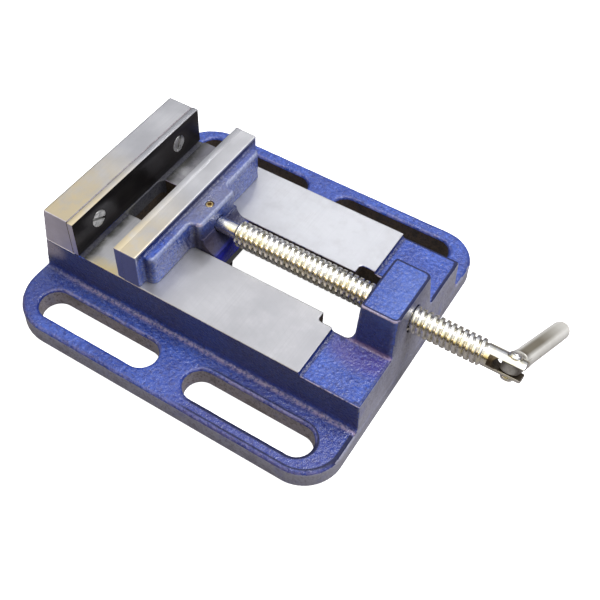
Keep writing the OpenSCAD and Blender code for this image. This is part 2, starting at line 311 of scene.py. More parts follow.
CUBE = np.array([[i, j, k] for i in (0, 1) for j in (0, 1) for k in (0, 1)])
CUBE_EDGES = [(a, b) for a in range(8) for b in range(a + 1, 8) if np.abs(CUBE[a] - CUBE[b]).sum() == 1]


def surface_net(values, low, cell):
    """Vertices (in millimetres) and quads of the zero surface of a grid of values."""
    inside = values < 0
    count = np.zeros([n - 1 for n in values.shape], np.uint8)
    for i, j, k in CUBE:
        count += inside[i : i + count.shape[0], j : j + count.shape[1], k : k + count.shape[2]]
    cells = np.argwhere((count > 0) & (count < 8))
    index = np.full(count.shape, -1, np.int32)
    index[tuple(cells.T)] = np.arange(len(cells))
    total = np.zeros((len(cells), 3))
    hits = np.zeros(len(cells))
    corner_values = [values[tuple((cells + c).T)] for c in CUBE]
    for a, b in CUBE_EDGES:
        fa, fb = corner_values[a], corner_values[b]
        cut = (fa < 0) != (fb < 0)
        t = fa[cut] / (fa[cut] - fb[cut])
        total[cut] += CUBE[a] + t[:, None] * (CUBE[b] - CUBE[a])
        hits[cut] += 1
    vertices = (cells + total / hits[:, None]) * cell + np.array(low)
    quads = []
    for axis in range(3):
        others = [a for a in range(3) if a != axis]
        moved = np.moveaxis(inside, axis, 0)
        start, end = moved[:-1, 1:-1, 1:-1], moved[1:, 1:-1, 1:-1]
        at = np.argwhere(start != end)
        leaving = start[tuple(at.T)]
        corners = []
        for du, dv in ((0, 0), (1, 0), (1, 1), (0, 1)):
            place = np.zeros((len(at), 3), int)
            place[:, axis] = at[:, 0]
            place[:, others[0]] = at[:, 1] + du
            place[:, others[1]] = at[:, 2] + dv
            corners.append(index[tuple(place.T)])
        quad = np.stack(corners, 1)
        flip = leaving if axis == 1 else ~leaving
        quad[flip] = quad[flip][:, ::-1]
        quads.append(quad)
    return vertices, np.concatenate(quads)


def gradient(shape, p, step):
    """Unit normals of a signed distance shape at points p."""
    out = np.empty_like(p)
    for axis in range(3):
        ahead, behind = p.copy(), p.copy()
        ahead[:, axis] += step
        behind[:, axis] -= step
        out[:, axis] = shape(*ahead.T) - shape(*behind.T)
    return out / np.maximum(np.linalg.norm(out, axis=1, keepdims=True), 1e-9)


def casting_waves(count, shortest, longest):
    """Random waves that together make the uneven skin of a painted casting."""
    directions = RANDOM.normal(size=(count, 3))
    directions /= np.linalg.norm(directions, axis=1, keepdims=True)
    lengths = shortest * (longest / shortest) ** RANDOM.random(count)
    return {
        "k": directions * 2 * math.pi / lengths[:, None],
        "phase": RANDOM.random(count) * 2 * math.pi,
        "size": (lengths / longest) ** 0.6 / math.sqrt(count),
    }


def wave_sum(waves, p):
    """Height and gradient of the waves at points p."""
    height = np.zeros(len(p))
    slope = np.zeros_like(p)
    for k, phase, size in zip(waves["k"], waves["phase"], waves["size"]):
        angle = p @ k + phase
        height += size * np.sin(angle)
        slope += (size * np.cos(angle))[:, None] * k
    return height, slope


def roundness(shape, p, normals, reach):
    """How sharply the shape falls away on all sides of each point: 0 on flats, 1 on an edge."""
    across = np.cross(normals, np.where(np.abs(normals[:, 2:]) < 0.8, (0.0, 0.0, 1.0), (1.0, 0.0, 0.0)))
    across /= np.linalg.norm(across, axis=1, keepdims=True)
    along = np.cross(normals, across)
    fall = sum(shape(*(p + step * reach).T) for step in (across, -across, along, -along))
    return np.clip(fall / (0.8 * reach), 0, 1)


def sdf_object(name, shape, low, high, cell, keep, skin=None, place=None, edge_reach=1.2):
    """Mesh object of a signed distance shape, with normals, and the edge and crease measures that the
    materials use for wear, painted highlight and painted shade, taken from the shape itself.

    keep is the share of faces left after thinning, skin a function that gives how far paint bumps go
    at each point, and place a function that turns local millimetres into the row frame. The attribute
    edge goes to 1 on outer edges, and crease to 1 in inner corners.
    """
    if not FINE:
        cell = cell * 1.5
    low = np.array(low, float) - 2.3 * cell
    count = np.ceil((np.array(high) + 2.3 * cell - low) / cell).astype(int) + 1
    axes = [(low[a] + cell * np.arange(count[a])) for a in range(3)]
    x, y, z = axes[0][:, None, None], axes[1][None, :, None], axes[2][None, None, :]
    vertices, quads = surface_net(np.asarray(shape(x, y, z), np.float32), low, cell)

    def settle(p):
        for _ in range(2):
            p = p - gradient(shape, p, 0.05) * shape(*p.T)[:, None]
        return p

    mesh = thinned(grid_mesh(name, settle(vertices), quads), keep)
    p = settle(points_of(mesh))
    normals = gradient(shape, p, 0.05)
    edge = roundness(shape, p, normals, edge_reach)
    crease = np.clip(1 - shape(*(p + normals * 2.5 * edge_reach).T) / (2.5 * edge_reach), 0, 1)
    if skin:
        height, slope = wave_sum(casting_waves(48, 3.2, 16), p)
        amount = skin(p)[:, None]
        slope -= (slope * normals).sum(1, keepdims=True) * normals
        p = p + normals * amount * (np.clip(height, -2, 2)[:, None] - 2) * 0.5
        normals = normals - amount * slope * 0.5
        normals /= np.linalg.norm(normals, axis=1, keepdims=True)
    set_attribute(mesh, "edge", edge)
    set_attribute(mesh, "crease", crease)
    if place:
        p, normals = place(p), place(normals, False)
    set_points(mesh, p)
    mesh.normals_split_custom_set_from_vertices([tuple(n) for n in normals])
    return linked(name, mesh)


def grid_mesh(name, vertices, quads):
    mesh = bpy.data.meshes.new(name)
    mesh.vertices.add(len(vertices))
    mesh.vertices.foreach_set("co", np.asarray(vertices, np.float32).ravel())
    mesh.loops.add(quads.size)
    mesh.loops.foreach_set("vertex_index", quads.astype(np.int32).ravel())
    mesh.polygons.add(len(quads))
    mesh.polygons.foreach_set("loop_start", np.arange(0, quads.size, 4, dtype=np.int32))
    mesh.update(calc_edges=True)
    return mesh


def thinned(mesh, keep):
    """The mesh with flat areas made of fewer faces."""
    ob = linked("thin", mesh)
    ob.modifiers.new("thin", "DECIMATE").ratio = keep
    return applied(ob)


# ---------------------------------------------------------------- revolved, cut and bevelled pieces


def turned(name, profile, segments, close=True):
    """Mesh revolved about X from (x, radius) points, in millimetres."""
    bm = bmesh.new()
    rings = []
    for x, r in profile:
        if r < 1e-6:
            rings.append([bm.verts.new((x, 0, 0))])
        else:
            rings.append([
                bm.verts.new((x, r * math.cos(a), r * math.sin(a)))
                for a in (2 * math.pi * k / segments for k in range(segments))
            ])
    for first, second in zip(rings, rings[1:] + rings[:1] if close else rings[1:]):
        if len(first) == 1 and len(second) == 1:
            continue
        for k in range(segments):
            corners = [first[k % len(first)], first[(k + 1) % len(first)]]
            corners += [second[(k + 1) % len(second)], second[k % len(second)]]
            corners = list(dict.fromkeys(corners))
            if len(corners) > 2:
                bm.faces.new(corners)
    bmesh.ops.recalc_face_normals(bm, faces=bm.faces)
    return mesh_from(bm, name)


def round_profile(corners):
    """Open (x, radius) profile with its given corner radii turned into arcs."""
    return filleted([(-50, -50, 0)] + corners + [(50, -50, 0)], 3)[1:-1]


def mesh_object(name, mesh, place=None, sharp=35):
    """Linked object of a mesh in millimetres, smooth except at edges sharper than the angle."""
    p = points_of(mesh)
    set_points(mesh, place(p) if place else p)
    mesh.set_sharp_from_angle(angle=math.radians(sharp))
    return linked(name, mesh)


def plain_box(name, low, high):
    bm = bmesh.new()
    bmesh.ops.create_cube(bm, size=1)
    for v in bm.verts:
        v.co = Vector([(a + b) / 2 + c * (b - a) for a, b, c in zip(low, high, v.co)])
    return mesh_from(bm, name)


def carved(mesh, cutters, bevel):
    """The mesh with the cutter meshes cut out and every sharp edge bevelled, all in millimetres."""
    ob = linked("carve", mesh)
    tools = [linked("cutter", cutter) for cutter in cutters]
    for tool in tools:
        cut = ob.modifiers.new("cut", "BOOLEAN")
        cut.operation = "DIFFERENCE"
        cut.solver = "EXACT"
        cut.object = tool
    soften = ob.modifiers.new("soften", "BEVEL")
    soften.width = bevel
    soften.segments = 2
    soften.limit_method = "ANGLE"
    soften.angle_limit = math.radians(35)
    return applied(ob, *tools)


def shifted(mesh, matrix):
    mesh.transform(matrix)
    return mesh


def combined(name, meshes):
    """One mesh holding several, with touching vertices welded."""
    bm = bmesh.new()
    for mesh in meshes:
        bm.from_mesh(mesh)
    bmesh.ops.remove_doubles(bm, verts=bm.verts, dist=1e-4)
    bmesh.ops.dissolve_degenerate(bm, edges=bm.edges, dist=1e-5)
    return mesh_from(bm, name)


def helix(name, start, end, pitch, profile, root, segments, fade=1.0):
    """Surface of a right-hand thread about X between two planes.

    profile gives (share of a pitch, radius) points. The ridge sinks to the root over fade pitches.
    """
    turns = int(math.ceil((end - start) / pitch)) + 2
    rows = turns * segments + 1
    t = np.arange(rows)[:, None] / segments
    share = np.array([p[0] for p in profile])[None, :]
    radius = np.array([p[1] for p in profile])[None, :]
    x = start + pitch * (t - 1 + share)
    into = np.clip((x - start) / (pitch * fade), 0, 1)
    out = np.clip((end - x) / (pitch * fade), 0, 1)
    ramp = into * into * (3 - 2 * into) * out * out * (3 - 2 * out)
    r = root + (radius - root) * ramp
    x = np.clip(x, start, end)
    angle = 2 * math.pi * t + 0 * share
    points = np.stack([x, r * np.cos(angle), r * np.sin(angle)], -1).reshape(-1, 3)
    wide = len(profile)
    row, column = np.meshgrid(np.arange(rows - 1), np.arange(wide - 1), indexing="ij")
    a = (row * wide + column).ravel()
    quads = np.stack([a, a + wide, a + wide + 1, a + 1], 1)
    return grid_mesh(name, points, quads)


def small_thread(name, start, end, pitch, root, crest):
    """Thread of a small screw about X."""
    profile = [(0, root), (0.12, root), (0.45, crest), (0.6, crest), (1, root)]
    return helix(name, start, end, pitch, profile, root - 0.05, 32)


# ---------------------------------------------------------------- the two castings

# Side view of the base's upper part, which is as wide as the jaw: corners with their radii
BODY_PROFILE = filleted([
    (FRONT_X + 1.0, -20, 0),
    (FRONT_X + 1.3, FLANGE_TOP, 0),
    (FRONT_X + 7.75, JAW_TOP, 0.9),
    (PLATE_BACK_X, JAW_TOP, 0.3),
    (PLATE_BACK_X, RELIEF_TOP, 0.3),
    (WAYS_START_X, RELIEF_TOP, 0.5),
    (WAYS_START_X, WAYS_TOP, 0.3),
    (WAYS_END_X, WAYS_TOP, 0.35),
    (WAYS_END_X, DECK_TOP, 1.2),
    (REAR_X + 30, DECK_TOP, 0),
    (REAR_X + 30, -20, 0),
])


def rear_end(x, z):
    """Distance past the slightly sloping planes of the base's rear end."""
    lowest = x - REAR_X + 0.02 + z * 0.022
    lower = x - (REAR_X - 0.3) + (z - FLANGE_TOP) * 0.047
    upper = x - (REAR_X - 1.2) + (z - DECK_TOP) * 0.0614
    return np.maximum(lowest, np.maximum(lower, upper))


def base_solid(x, y, z):
    """The casting without its openings: the flange, the body with the fixed jaw, and the nut boss."""
    plan = round_plan(x, y, FRONT_X, REAR_X, BASE_HIGH[1], FRONT_CORNER_R, REAR_CORNER_R)
    flange = round_and(plan, z - FLANGE_TOP, 2.6)
    end = rear_end(x, z)
    sides = (np.abs(y) - BOSS_TOP_HALF - (BOSS_TOP - z) * BOSS_LEAN) / math.hypot(1, BOSS_LEAN)
    boss = round_and(round_and(sides, BOSS_FRONT_X - x, 2.0), end, 3.2)
    boss = round_and(boss, z - BOSS_TOP, 0.9)
    deck = round_and(polygon(x, z, BODY_PROFILE), np.abs(y) - HALF_JAW, 0.55)
    body = np.maximum(round_or(round_and(deck, end, 1.2), boss, 1.2), end)
    # the fillet along the foot of the walls
    foot = round_or(np.abs(y) - HALF_JAW, z - FLANGE_TOP, FOOT_R)
    foot = np.maximum(foot, np.maximum(np.abs(y) - HALF_JAW - FOOT_R, z - FLANGE_TOP - FOOT_R))
    front = (FRONT_X + 1.3) - x + (z - FLANGE_TOP) * JAW_FRONT_SLOPE
    front = np.maximum(front, FRONT_X + 1.0 - x)
    foot = round_and(foot, np.maximum(front, end), 1.2)
    return round_and(np.minimum(np.minimum(flange, body), foot), -z, 0.8)


def base_shape(x, y, z):
    shape = base_solid(x, y, z)
    # the fixed jaw's ends are ground back above a ledge
    ledge = np.maximum(LEDGE_Z - z, HALF_JAW - 0.4 - np.abs(y)) + 0 * x
    shape = round_cut(shape, np.maximum(ledge, x - WAYS_START_X + 2.2), 0.15)
    # the bolting slots, which narrow downwards, those on the +Y side more
    for sx, sy in FOUR_CORNERS:
        slot = slot_plan(x, y, sx * SLOT_AT[0], sy * SLOT_AT[1], *SLOT_SIZE)
        draft = (0.07 + 0.03 * sy) * (FLANGE_TOP - z)
        shape = round_cut(shape, slot + draft, 1.9)
    guide = np.minimum(
        round_plan(x, y, PLATE_FACE_X + 0.6, GUIDE_END_X, GUIDE_HALF, 3, 0.5),
        round_plan(x, y, GUIDE_WIDE_X, GUIDE_END_X, GUIDE_WIDE_HALF, 2, 3),
    )
    shape = round_cut(shape, guide, 0.5)
    hollow = round_plan(x, y, HOLLOW_FRONT_X, HOLLOW_END_X, HOLLOW_HALF, 8, 8)
    shape = round_cut(shape, round_and(hollow, z - HOLLOW_TOP, 3), 1.2)
    shape = round_cut(shape, np.maximum(spindle_bore(x, y, z), BORE_START_X - x), 0.7)
    for side in (-1, 1):
        tapped = cylinder_x(x, y, z, TAPPED_R, side * PLATE_SCREW_Y, PLATE_SCREW_Z)
        shape = round_cut(shape, np.maximum(tapped, PLATE_FACE_X - TAPPED_DEPTH - x), 0.3)
    return shape


def spindle_bore(x, y, z):
    """The nut's bore, with a shallow thread."""
    turn = np.arctan2(z - SPINDLE_Z, y) / (2 * math.pi)
    ridge = np.abs(((x - THREAD_START_X) / THREAD_PITCH - turn + 0.5) % 1 - 0.5)
    return cylinder_x(x, y, z, SPINDLE_BORE_R) - 0.5 * np.clip(ridge - 0.25, -0.1, 0.2)


def tongue_shape(x, y, z):
    """The moving jaw's tongue in the guide slot, with a quarter round from its top to the boss."""
    top = WAYS_TOP + TONGUE_FILLET
    quarter = [
        (TONGUE_BACK_X + TONGUE_FILLET * math.cos(a), top + TONGUE_FILLET * math.sin(a))
        for a in (math.radians(270 - 90 * k / 8) for k in range(9))
    ]
    outline = np.array([
        (TONGUE_FRONT_X, JAW_FOOT + 1), (TONGUE_FRONT_X, TONGUE_FOOT), (TONGUE_BACK_X, TONGUE_FOOT),
        *quarter, (JAW_BOSS_BACK_X - 1, top),
    ])
    return round_and(polygon(x, z, outline), np.abs(y) - GUIDE_HALF + 0.15, 0.7)


def jaw_shape(x, y, z):
    """The moving jaw: the bar behind its plate, the wing and the spindle's boss, and the tongue."""
    bar = round_and(np.abs(y) - HALF_JAW, x - BLOCK_BACK_X, 0.8)
    bar = round_and(bar, z - BOSS_TOP, 0.6)
    ahead = BLOCK_FRONT_X - 40
    wing = round_plan(x, y, ahead, WING_BACK_X, 45, 0, 3.5)
    middle = round_plan(x, y, ahead, JAW_BOSS_BACK_X, 15, 0, 3)
    skirt = round_and(round_or(wing, middle, 2.5), z - WING_TOP, 1.8)
    shape = round_or(bar, skirt, 1.2)
    shape = round_and(np.maximum(shape, BLOCK_FRONT_X - x), JAW_FOOT - z, 0.35)
    shape = np.minimum(shape, tongue_shape(x, y, z))
    shape = round_cut(shape, np.maximum(cylinder_x(x, y, z, NOSE_BORE_R), NOSE_FRONT_X - 0.8 - x), 0.5)
    grub = np.maximum(length2(x - GRUB_X, y) - GRUB_HOLE_R, SPINDLE_Z - z)
    shape = round_cut(shape, grub, 0.3)
    for bolt_x in KEEP_BOLT_X:
        hole = np.maximum(length2(x - bolt_x, y) - KEEP_BOLT_HOLE_R, z - KEEP_BOLT_HOLE_TOP)
        shape = round_cut(shape, hole, 0.3)
    return shape


def base_skin(p):
    """How far paint and casting bumps go on the base: none on its machined faces."""
    return np.where(machined_base(p, 0.3) | (p[:, 2] < 1.2), 0, 0.16)


def jaw_skin(p):
    return np.where(machined_jaw(p, 0.3), 0, 0.12)


def machined_base(p, margin=0.05):
    """The base's machined faces: the ways, the fixed jaw's top and ends, and the seat of its plate."""
    x, y, z = p.T
    ways = (z > WAYS_TOP - margin - 0.25) & (z < WAYS_TOP + 1)
    ways &= (x < WAYS_END_X + 0.1) & (x > WAYS_START_X - 0.3)
    top = (z > JAW_TOP - margin - 0.4) & (x < PLATE_BACK_X + 0.2)
    ends = (np.abs(y) > HALF_JAW - 0.7 - margin) & (z > LEDGE_Z + 0.1) & (x < PLATE_BACK_X + 0.2)
    seat = (x > PLATE_BACK_X - margin - 0.4) & (x < PLATE_BACK_X + 1) & (z > RELIEF_TOP + 0.4)
    return ways | top | ends | seat


def slot_walls(p, normals):
    """The walls of the four bolting slots, where the casting shows through."""
    x, y, z = p.T
    away = np.full(len(p), np.inf)
    for sx, sy in FOUR_CORNERS:
        away = np.minimum(away, slot_plan(x, y, sx * SLOT_AT[0], sy * SLOT_AT[1], *SLOT_SIZE))
    return (np.abs(away) < 1.2) & (z < FLANGE_TOP - 1.6) & (np.abs(normals[:, 2]) < 0.6)


def pale_reflection_walls(p, normals):
    """The flange's outer walls and the whole rear end, which get a pale lilac enamel as a painted
    reflection of the floor.
    """
    x, y, z = p.T
    outside = round_plan(x, y, FRONT_X, REAR_X, BASE_HIGH[1], FRONT_CORNER_R, REAR_CORNER_R)
    outer = (outside > -0.9) & (z < FLANGE_TOP - 1.8) & (np.abs(normals[:, 2]) < 0.6)
    return outer | (rear_end(x, z) > -0.8) & (normals[:, 0] > 0.75)


def shaded_strip(p):
    """The strip in front of the fixed jaw's plate, and the slot's front wall under it, which get painted
    shade between the jaws.
    """
    x, y, z = p.T
    strip = (x > PLATE_FACE_X - 0.8) & (x < WAYS_START_X + 0.2) & (z < WAYS_TOP - 0.3)
    return strip & (z > STRIP_FOOT) & (np.abs(y) < HALF_JAW - 0.6)


def plate_seam(p, normals):
    """The rounded rim of the fixed jaw against its plate, which shows as a dark line."""
    x, _, z = p.T
    return (np.abs(x - PLATE_BACK_X) < 0.9) & (z > LEDGE_Z + 0.3) & (normals[:, 0] > 0.04)


def raw_walls(p, normals):
    """The unpainted inside of the casting, the guide slot and the hollow under the ways, made dark as
    painted shade as well.
    """
    x, y, z = p.T
    inside = (np.abs(y) < GUIDE_WIDE_HALF + 0.2) & (x > PLATE_FACE_X) & (x < GUIDE_END_X + 0.2)
    inside &= np.abs(normals[:, 2]) < 0.6
    inside &= (z < WAYS_TOP - 0.8) & ((x > WAYS_START_X) | (z < STRIP_FOOT))
    hollow = (z < HOLLOW_TOP + 0.2) & (z > 1.5) & (np.abs(y) < HOLLOW_HALF + 0.5)
    hollow &= (x > HOLLOW_FRONT_X - 0.6) & (x < HOLLOW_END_X + 0.5)
    return inside | hollow


def machined_jaw(p, margin=0.05):
    """The moving jaw's machined faces: its top, the seat of its plate, and the foot on the ways."""
    x, y, z = p.T
    top = (z > BOSS_TOP - 0.4 - margin) & (x < BLOCK_BACK_X + 0.1)
    front = x < BLOCK_FRONT_X + 0.2 + margin
    foot = (z < JAW_FOOT + 0.2 + margin) & (z > JAW_FOOT - 1) & (np.abs(y) > GUIDE_HALF + 0.3)
    return top | front | foot


# ---------------------------------------------------------------- materials


def new_material(name):
    """A material, its node tree, and the place on the piece in its own coordinates."""
    made = bpy.data.materials.new(name)
    made.use_nodes = True
    return made, made.node_tree, add(made.node_tree, "TexCoord").outputs["Object"]


def set_socket(socket, value):
    """Links a socket to another, or sets its value, a colour being three numbers."""
    if isinstance(value, bpy.types.NodeSocket):
        socket.id_data.links.new(value, socket)
    elif socket.type == "RGBA":
        socket.default_value = (*value, 1)
    else:
        socket.default_value = value


def add(tree, kind, inputs=None, **settings):
    """A shader node with its settings and its inputs."""
    made = tree.nodes.new("ShaderNode" + kind)
    for key, value in settings.items():
        setattr(made, key, value)
    for key, value in (inputs or {}).items():
        set_socket(made.inputs[key], value)
    return made


def noise(where, size_mm, detail, rough=0.5, stretch=(1, 1, 1), turn=(0, 0, 0), shift=0.0):
    """Noise whose features are about size_mm across, stretched along the axes."""
    mapping = add(where.id_data, "Mapping", {
        "Vector": where,
        "Scale": tuple(1 / s for s in stretch),
        "Rotation": tuple(math.radians(a) for a in turn),
        "Location": (shift, shift * 0.7, shift * 1.3),
    })
    return add(where.id_data, "TexNoise", {
        "Vector": mapping.outputs[0], "Scale": 1 / (size_mm * MM), "Detail": detail, "Roughness": rough,
    }).outputs[0]


def ramp(value, stops, smooth=False):
    """Colour ramp through (place, colour) stops."""
    made = add(value.id_data, "ValToRGB", {"Fac": value})
    made.color_ramp.interpolation = "EASE" if smooth else "LINEAR"
    points = made.color_ramp.elements
    while len(points) < len(stops):
        points.new(0.5)
    for point, (place, colour) in zip(points, sorted(stops)):
        point.position = place
        point.color = (*colour, 1)
    return made.outputs[0]


def grey(value, low, high, out_low=0.0, out_high=1.0):
    """The value taken from one range to another, and clamped there."""
    return add(value.id_data, "MapRange", {
        "Value": value, "From Min": low, "From Max": high, "To Min": out_low, "To Max": out_high,
    }).outputs[0]


def combine(operation, first, *others):
    """Sum, product or maximum of several values."""
    for other in others:
        first = add(first.id_data, "Math", {0: first, 1: other}, operation=operation).outputs[0]
    return first


def product(*values):
    return combine("MULTIPLY", *values)


def mixed(share, first, second):
    made = add(share.id_data, "Mix", data_type="RGBA")
    for number, value in ((0, share), (6, first), (7, second)):
        set_socket(made.inputs[number], value)
    return made.outputs[2]


def tinted(colour, mask, share, tint):
    """The colour with a share of the tint where the mask is 1."""
    return mixed(grey(mask, 0, 1, 0, share), colour, tint)


def axes_of(vector):
    """The X, Y and Z of a vector socket."""
    return add(vector.id_data, "SeparateXYZ", {0: vector}).outputs


def bump(height, depth_mm, under=None, strength=1.0):
    inputs = {"Height": height, "Distance": depth_mm * MM, "Strength": strength}
    if under is not None:
        inputs["Normal"] = under
    return add(height.id_data, "Bump", inputs).outputs[0]


def finish_material(made, **sockets):
    """Sets or links sockets of the material's Principled node, by name with _ for spaces."""
    shader = made.node_tree.nodes["Principled BSDF"]
    for key, value in sockets.items():
        set_socket(shader.inputs[key.replace("_", " ")], value)
    return made


def near(where, centre, reach):
    """1 at a point of the piece, falling to 0 at the given reach along each axis, both in millimetres."""
    tree = where.id_data
    moved = add(tree, "VectorMath", {0: where, 1: tuple(c * MM for c in centre)}, operation="SUBTRACT")
    scale = tuple(1 / (r * MM) for r in reach)
    scaled = add(tree, "VectorMath", {0: moved.outputs[0], 1: scale}, operation="MULTIPLY")
    away = add(tree, "VectorMath", {0: scaled.outputs[0]}, operation="LENGTH").outputs["Value"]
    return grey(away, 0, 1, 1, 0)


# Where the enamel is faded, dusty, violet, darker or lighter, in places as painted shade and painted
# highlight: centre, reach, share and colour
ENAMEL_TONES_AND_PAINTED_LIGHT = [
    ((-88, -66, FLANGE_TOP), (30, 26, 7), 0.5, (0.010, 0.020, 0.19)),
    ((GRUB_X, 0, BOSS_TOP), (24, 40, 6), 0.75, (0.21, 0.205, 0.225)),
    ((GRUB_X - 4, 40, BOSS_TOP), (24, 50, 9), 0.3, (0.20, 0.20, 0.32)),
    # painted shade on the rear face of the moving jaw's boss, round the spindle
    ((JAW_BOSS_BACK_X, 0, 38), (9, 44, 12), 0.55, (0.016, 0.018, 0.060)),
    # painted shadow of the spindle on the top of the tongue's fillet
    ((FACE_X + 28, -2, 36), (9, 40, 7), 0.75, (0.030, 0.022, 0.036)),
    # painted light: the tongue's rear face bright royal blue, as if lit from the floor through the slot
    ((FACE_X + 32.5, 0, 26), (5, 40, 9), 0.95, (0.001, 0.004, 0.60)),
    # painted shade at the foot of the boss's near side
    ((JAW_BOSS_BACK_X - 4, -15, 36), (16, 14, 14), 0.5, (0.05, 0.035, 0.045)),
    # painted shade along the step behind the jaw's block
    ((BLOCK_BACK_X + 0.5, 0, BOSS_TOP), (2.4, 400, 5), 0.9, (0.005, 0.009, 0.07)),
    ((52, -76, FLANGE_TOP), (66, 40, 9), 0.5, (0.050, 0.040, 0.19)),
    ((106, -2, BOSS_TOP), (44, 44, 10), 0.3, (0.14, 0.24, 0.66)),
    ((79, -25, DECK_TOP), (24, 12, 4), 0.45, (0.10, 0.045, 0.24)),
    # painted pink highlight along the foot of the nut boss
    ((80, -20.2, DECK_TOP + 0.4), (26, 1.2, 2), 0.55, (0.45, 0.32, 0.48)),
    # painted shadow along the step at the end of the ways
    ((WAYS_END_X + 0.7, 0, DECK_TOP), (1.7, 400, 3), 0.9, (0.003, 0.012, 0.12)),
]
# The dusty patch at the front of the wall on the -Y side
FADED_PATCH = ((-89, -50, 27), (15, 8, 9))
# Where the enamel's rims get neither wear nor painted highlight: along the fixed jaw, and on the moving
# jaw's wing and boss
NO_PALE_RIMS = [
    ((-82, -50, 32), (32, 8, 7)),
    ((BLOCK_BACK_X + 4, -46, 44), (9, 12, 14)),
    ((FACE_X + 27, -14, 34), (14, 10, 13)),
]
# Where the enamel is matt: the foot of the moving jaw's boss
SHELTERED = ((FACE_X + 27, -8, 36), (14, 20, 13))


def enamel():
    """Glossy royal blue casting enamel: orange peel and specks, rims worn pale with painted highlight,
    and painted shade on rims and in corners.
    """
    made, tree, where = new_material("blue_enamel")
    edge = add(tree, "Attribute", attribute_name="edge").outputs["Fac"]
    crease = add(tree, "Attribute", attribute_name="crease").outputs["Fac"]
    facing_x, facing_y, facing_z = axes_of(add(tree, "NewGeometry").outputs["Normal"])
    x, y, z = axes_of(where)
    outward = combine("ABSOLUTE", y, 0)
    above_flange = grey(z, 0.0125, 0.015)
    on_flange = grey(z, 0.0125, 0.015, 1, 0)

    # the paint itself
    colour = ramp(noise(where, 24, 3), [(0.3, (0.020, 0.052, 0.32)), (0.7, (0.040, 0.102, 0.50))], True)
    mottle = noise(where, 1.7, 4, 0.66)
    colour = mixed(grey(mottle, 0.34, 0.50, 0.7, 0), colour, (0.006, 0.014, 0.14))
    # pale specks: the paint's own mottle together with painted sparkle highlights of the coat
    colour = mixed(grey(mottle, 0.56, 0.70, 0, 0.6), colour, (0.12, 0.22, 0.80))
    # painted shade in the inner corners
    colour = mixed(grey(crease, 0.3, 1, 0, 0.75), colour, (0.005, 0.007, 0.05))

    # painted shade on the walls facing -Y, the dusty patch there, and the patches of tone, painted shade
    # and painted highlight
    wall = product(grey(facing_y, -0.95, -0.75, 1, 0), above_flange)
    colour = tinted(colour, wall, 0.6, (0.022, 0.020, 0.052))
    faded = product(near(where, *FADED_PATCH), wall)
    colour = mixed(grey(faded, 0, 0.5, 0, 0.8), colour, (0.55, 0.50, 0.62))
    for centre, reach, share, tint in ENAMEL_TONES_AND_PAINTED_LIGHT:
        colour = mixed(grey(near(where, centre, reach), 0, 0.5, 0, share), colour, tint)

    # painted shade: dark rims that face away from -Y behind the moving jaw, weaker on the far flange and
    # the near deck
    far_flange = product(on_flange, grey(y, 0, 0.01))
    near_deck = product(above_flange, grey(y, -0.022, -0.018, 1, 0))
    rim_shade = product(
        grey(edge, 0.13, 0.34), grey(facing_y, -0.4, -0.15), grey(x, 0.010, 0.020),
        grey(far_flange, 0, 1, 1, 0.2), grey(near_deck, 0, 1, 1, 0.5),
    )
    colour = tinted(colour, rim_shade, 0.95, (0.004, 0.007, 0.05))

    # painted highlight: pale rims on the top of the moving jaw
    rim_highlight = product(
        grey(edge, 0.1, 0.4), grey(facing_x, 0.1, 0.4), grey(x, 0.0, 0.010, 1, 0), grey(z, 0.046, 0.049),
    )
    colour = tinted(colour, rim_highlight, 0.6, (0.40, 0.44, 0.62))

    # worn rims with painted pink highlight, on the -Y side
    patches = noise(where, 3, 3, 0.6, shift=0.6)
    worn_and_lit_rims = product(
        grey(facing_y, -0.5, -0.05, 1, 0), grey(patches, 0.38, 0.52), grey(on_flange, 0, 1, 1, 0.4),
        grey(facing_z, 0.1, 0.3), *[grey(near(where, *place), 0, 0.3, 1, 0) for place in NO_PALE_RIMS],
    )
    colour = tinted(colour, product(grey(edge, 0.12, 0.4), worn_and_lit_rims), 0.12, (0.50, 0.38, 0.52))
    colour = tinted(colour, product(grey(edge, 0.50, 0.80), worn_and_lit_rims), 0.80, (0.66, 0.55, 0.66))

    # painted pink highlight: the reflection in the fillet along the foot of the walls
    foot = product(
        grey(outward, 0.0503, 0.0513), grey(outward, 0.0518, 0.0535, 1, 0), grey(z, 0.0130, 0.0145, 1, 0),
        grey(mottle, 0.44, 0.54, 0.1, 1), grey(x, -0.082, -0.060, 0.15, 1),
    )
    colour = tinted(colour, foot, 0.6, (0.50, 0.37, 0.50))

    dull = combine("MAXIMUM", rim_shade, grey(near(where, *SHELTERED), 0.1, 0.4))
    normal = bump(noise(where, 1.7, 3, 0.55, shift=0.2), 0.8)
    normal = bump(noise(where, 0.8, 2, 0.5, shift=0.3), 0.15, normal, 0.6)
    return finish_material(
        made, Base_Color=colour, Normal=normal, Coat_Weight=grey(dull, 0, 1, 0.7, 0),
        Roughness=combine("ADD", grey(patches, 0.3, 0.7, 0.26, 0.38), grey(dull, 0, 1, 0, 0.35)),
        Coat_Roughness=0.08, Coat_IOR=1.5, Coat_Normal=normal,
    )


def cast_wall(name, low, middle, high, speck, rough=0.45, coat=0.3, painted_shading=()):
    """Casting wall, bare or enamelled: three drifting tints, small dark specks, and painted shade and
    painted reflection at given places.
    """
    made, _, where = new_material(name)
    broad = noise(where, 9, 4, 0.6)
    colour = ramp(broad, [(0.3, low), (0.5, middle), (0.72, high)], True)
    grit = noise(where, 1.1, 4, 0.65, shift=0.1)
    colour = mixed(grey(grit, 0.38, 0.5, 0.7, 0), colour, speck)
    for centre, reach, share, tint in painted_shading:
        colour = mixed(grey(near(where, centre, reach), 0, 0.6, 0, share), colour, tint)
    return finish_material(
        made, Base_Color=colour, Roughness=rough, Normal=bump(grit, 0.35, strength=0.8), Coat_Weight=coat,
        Coat_Roughness=0.2,
    )


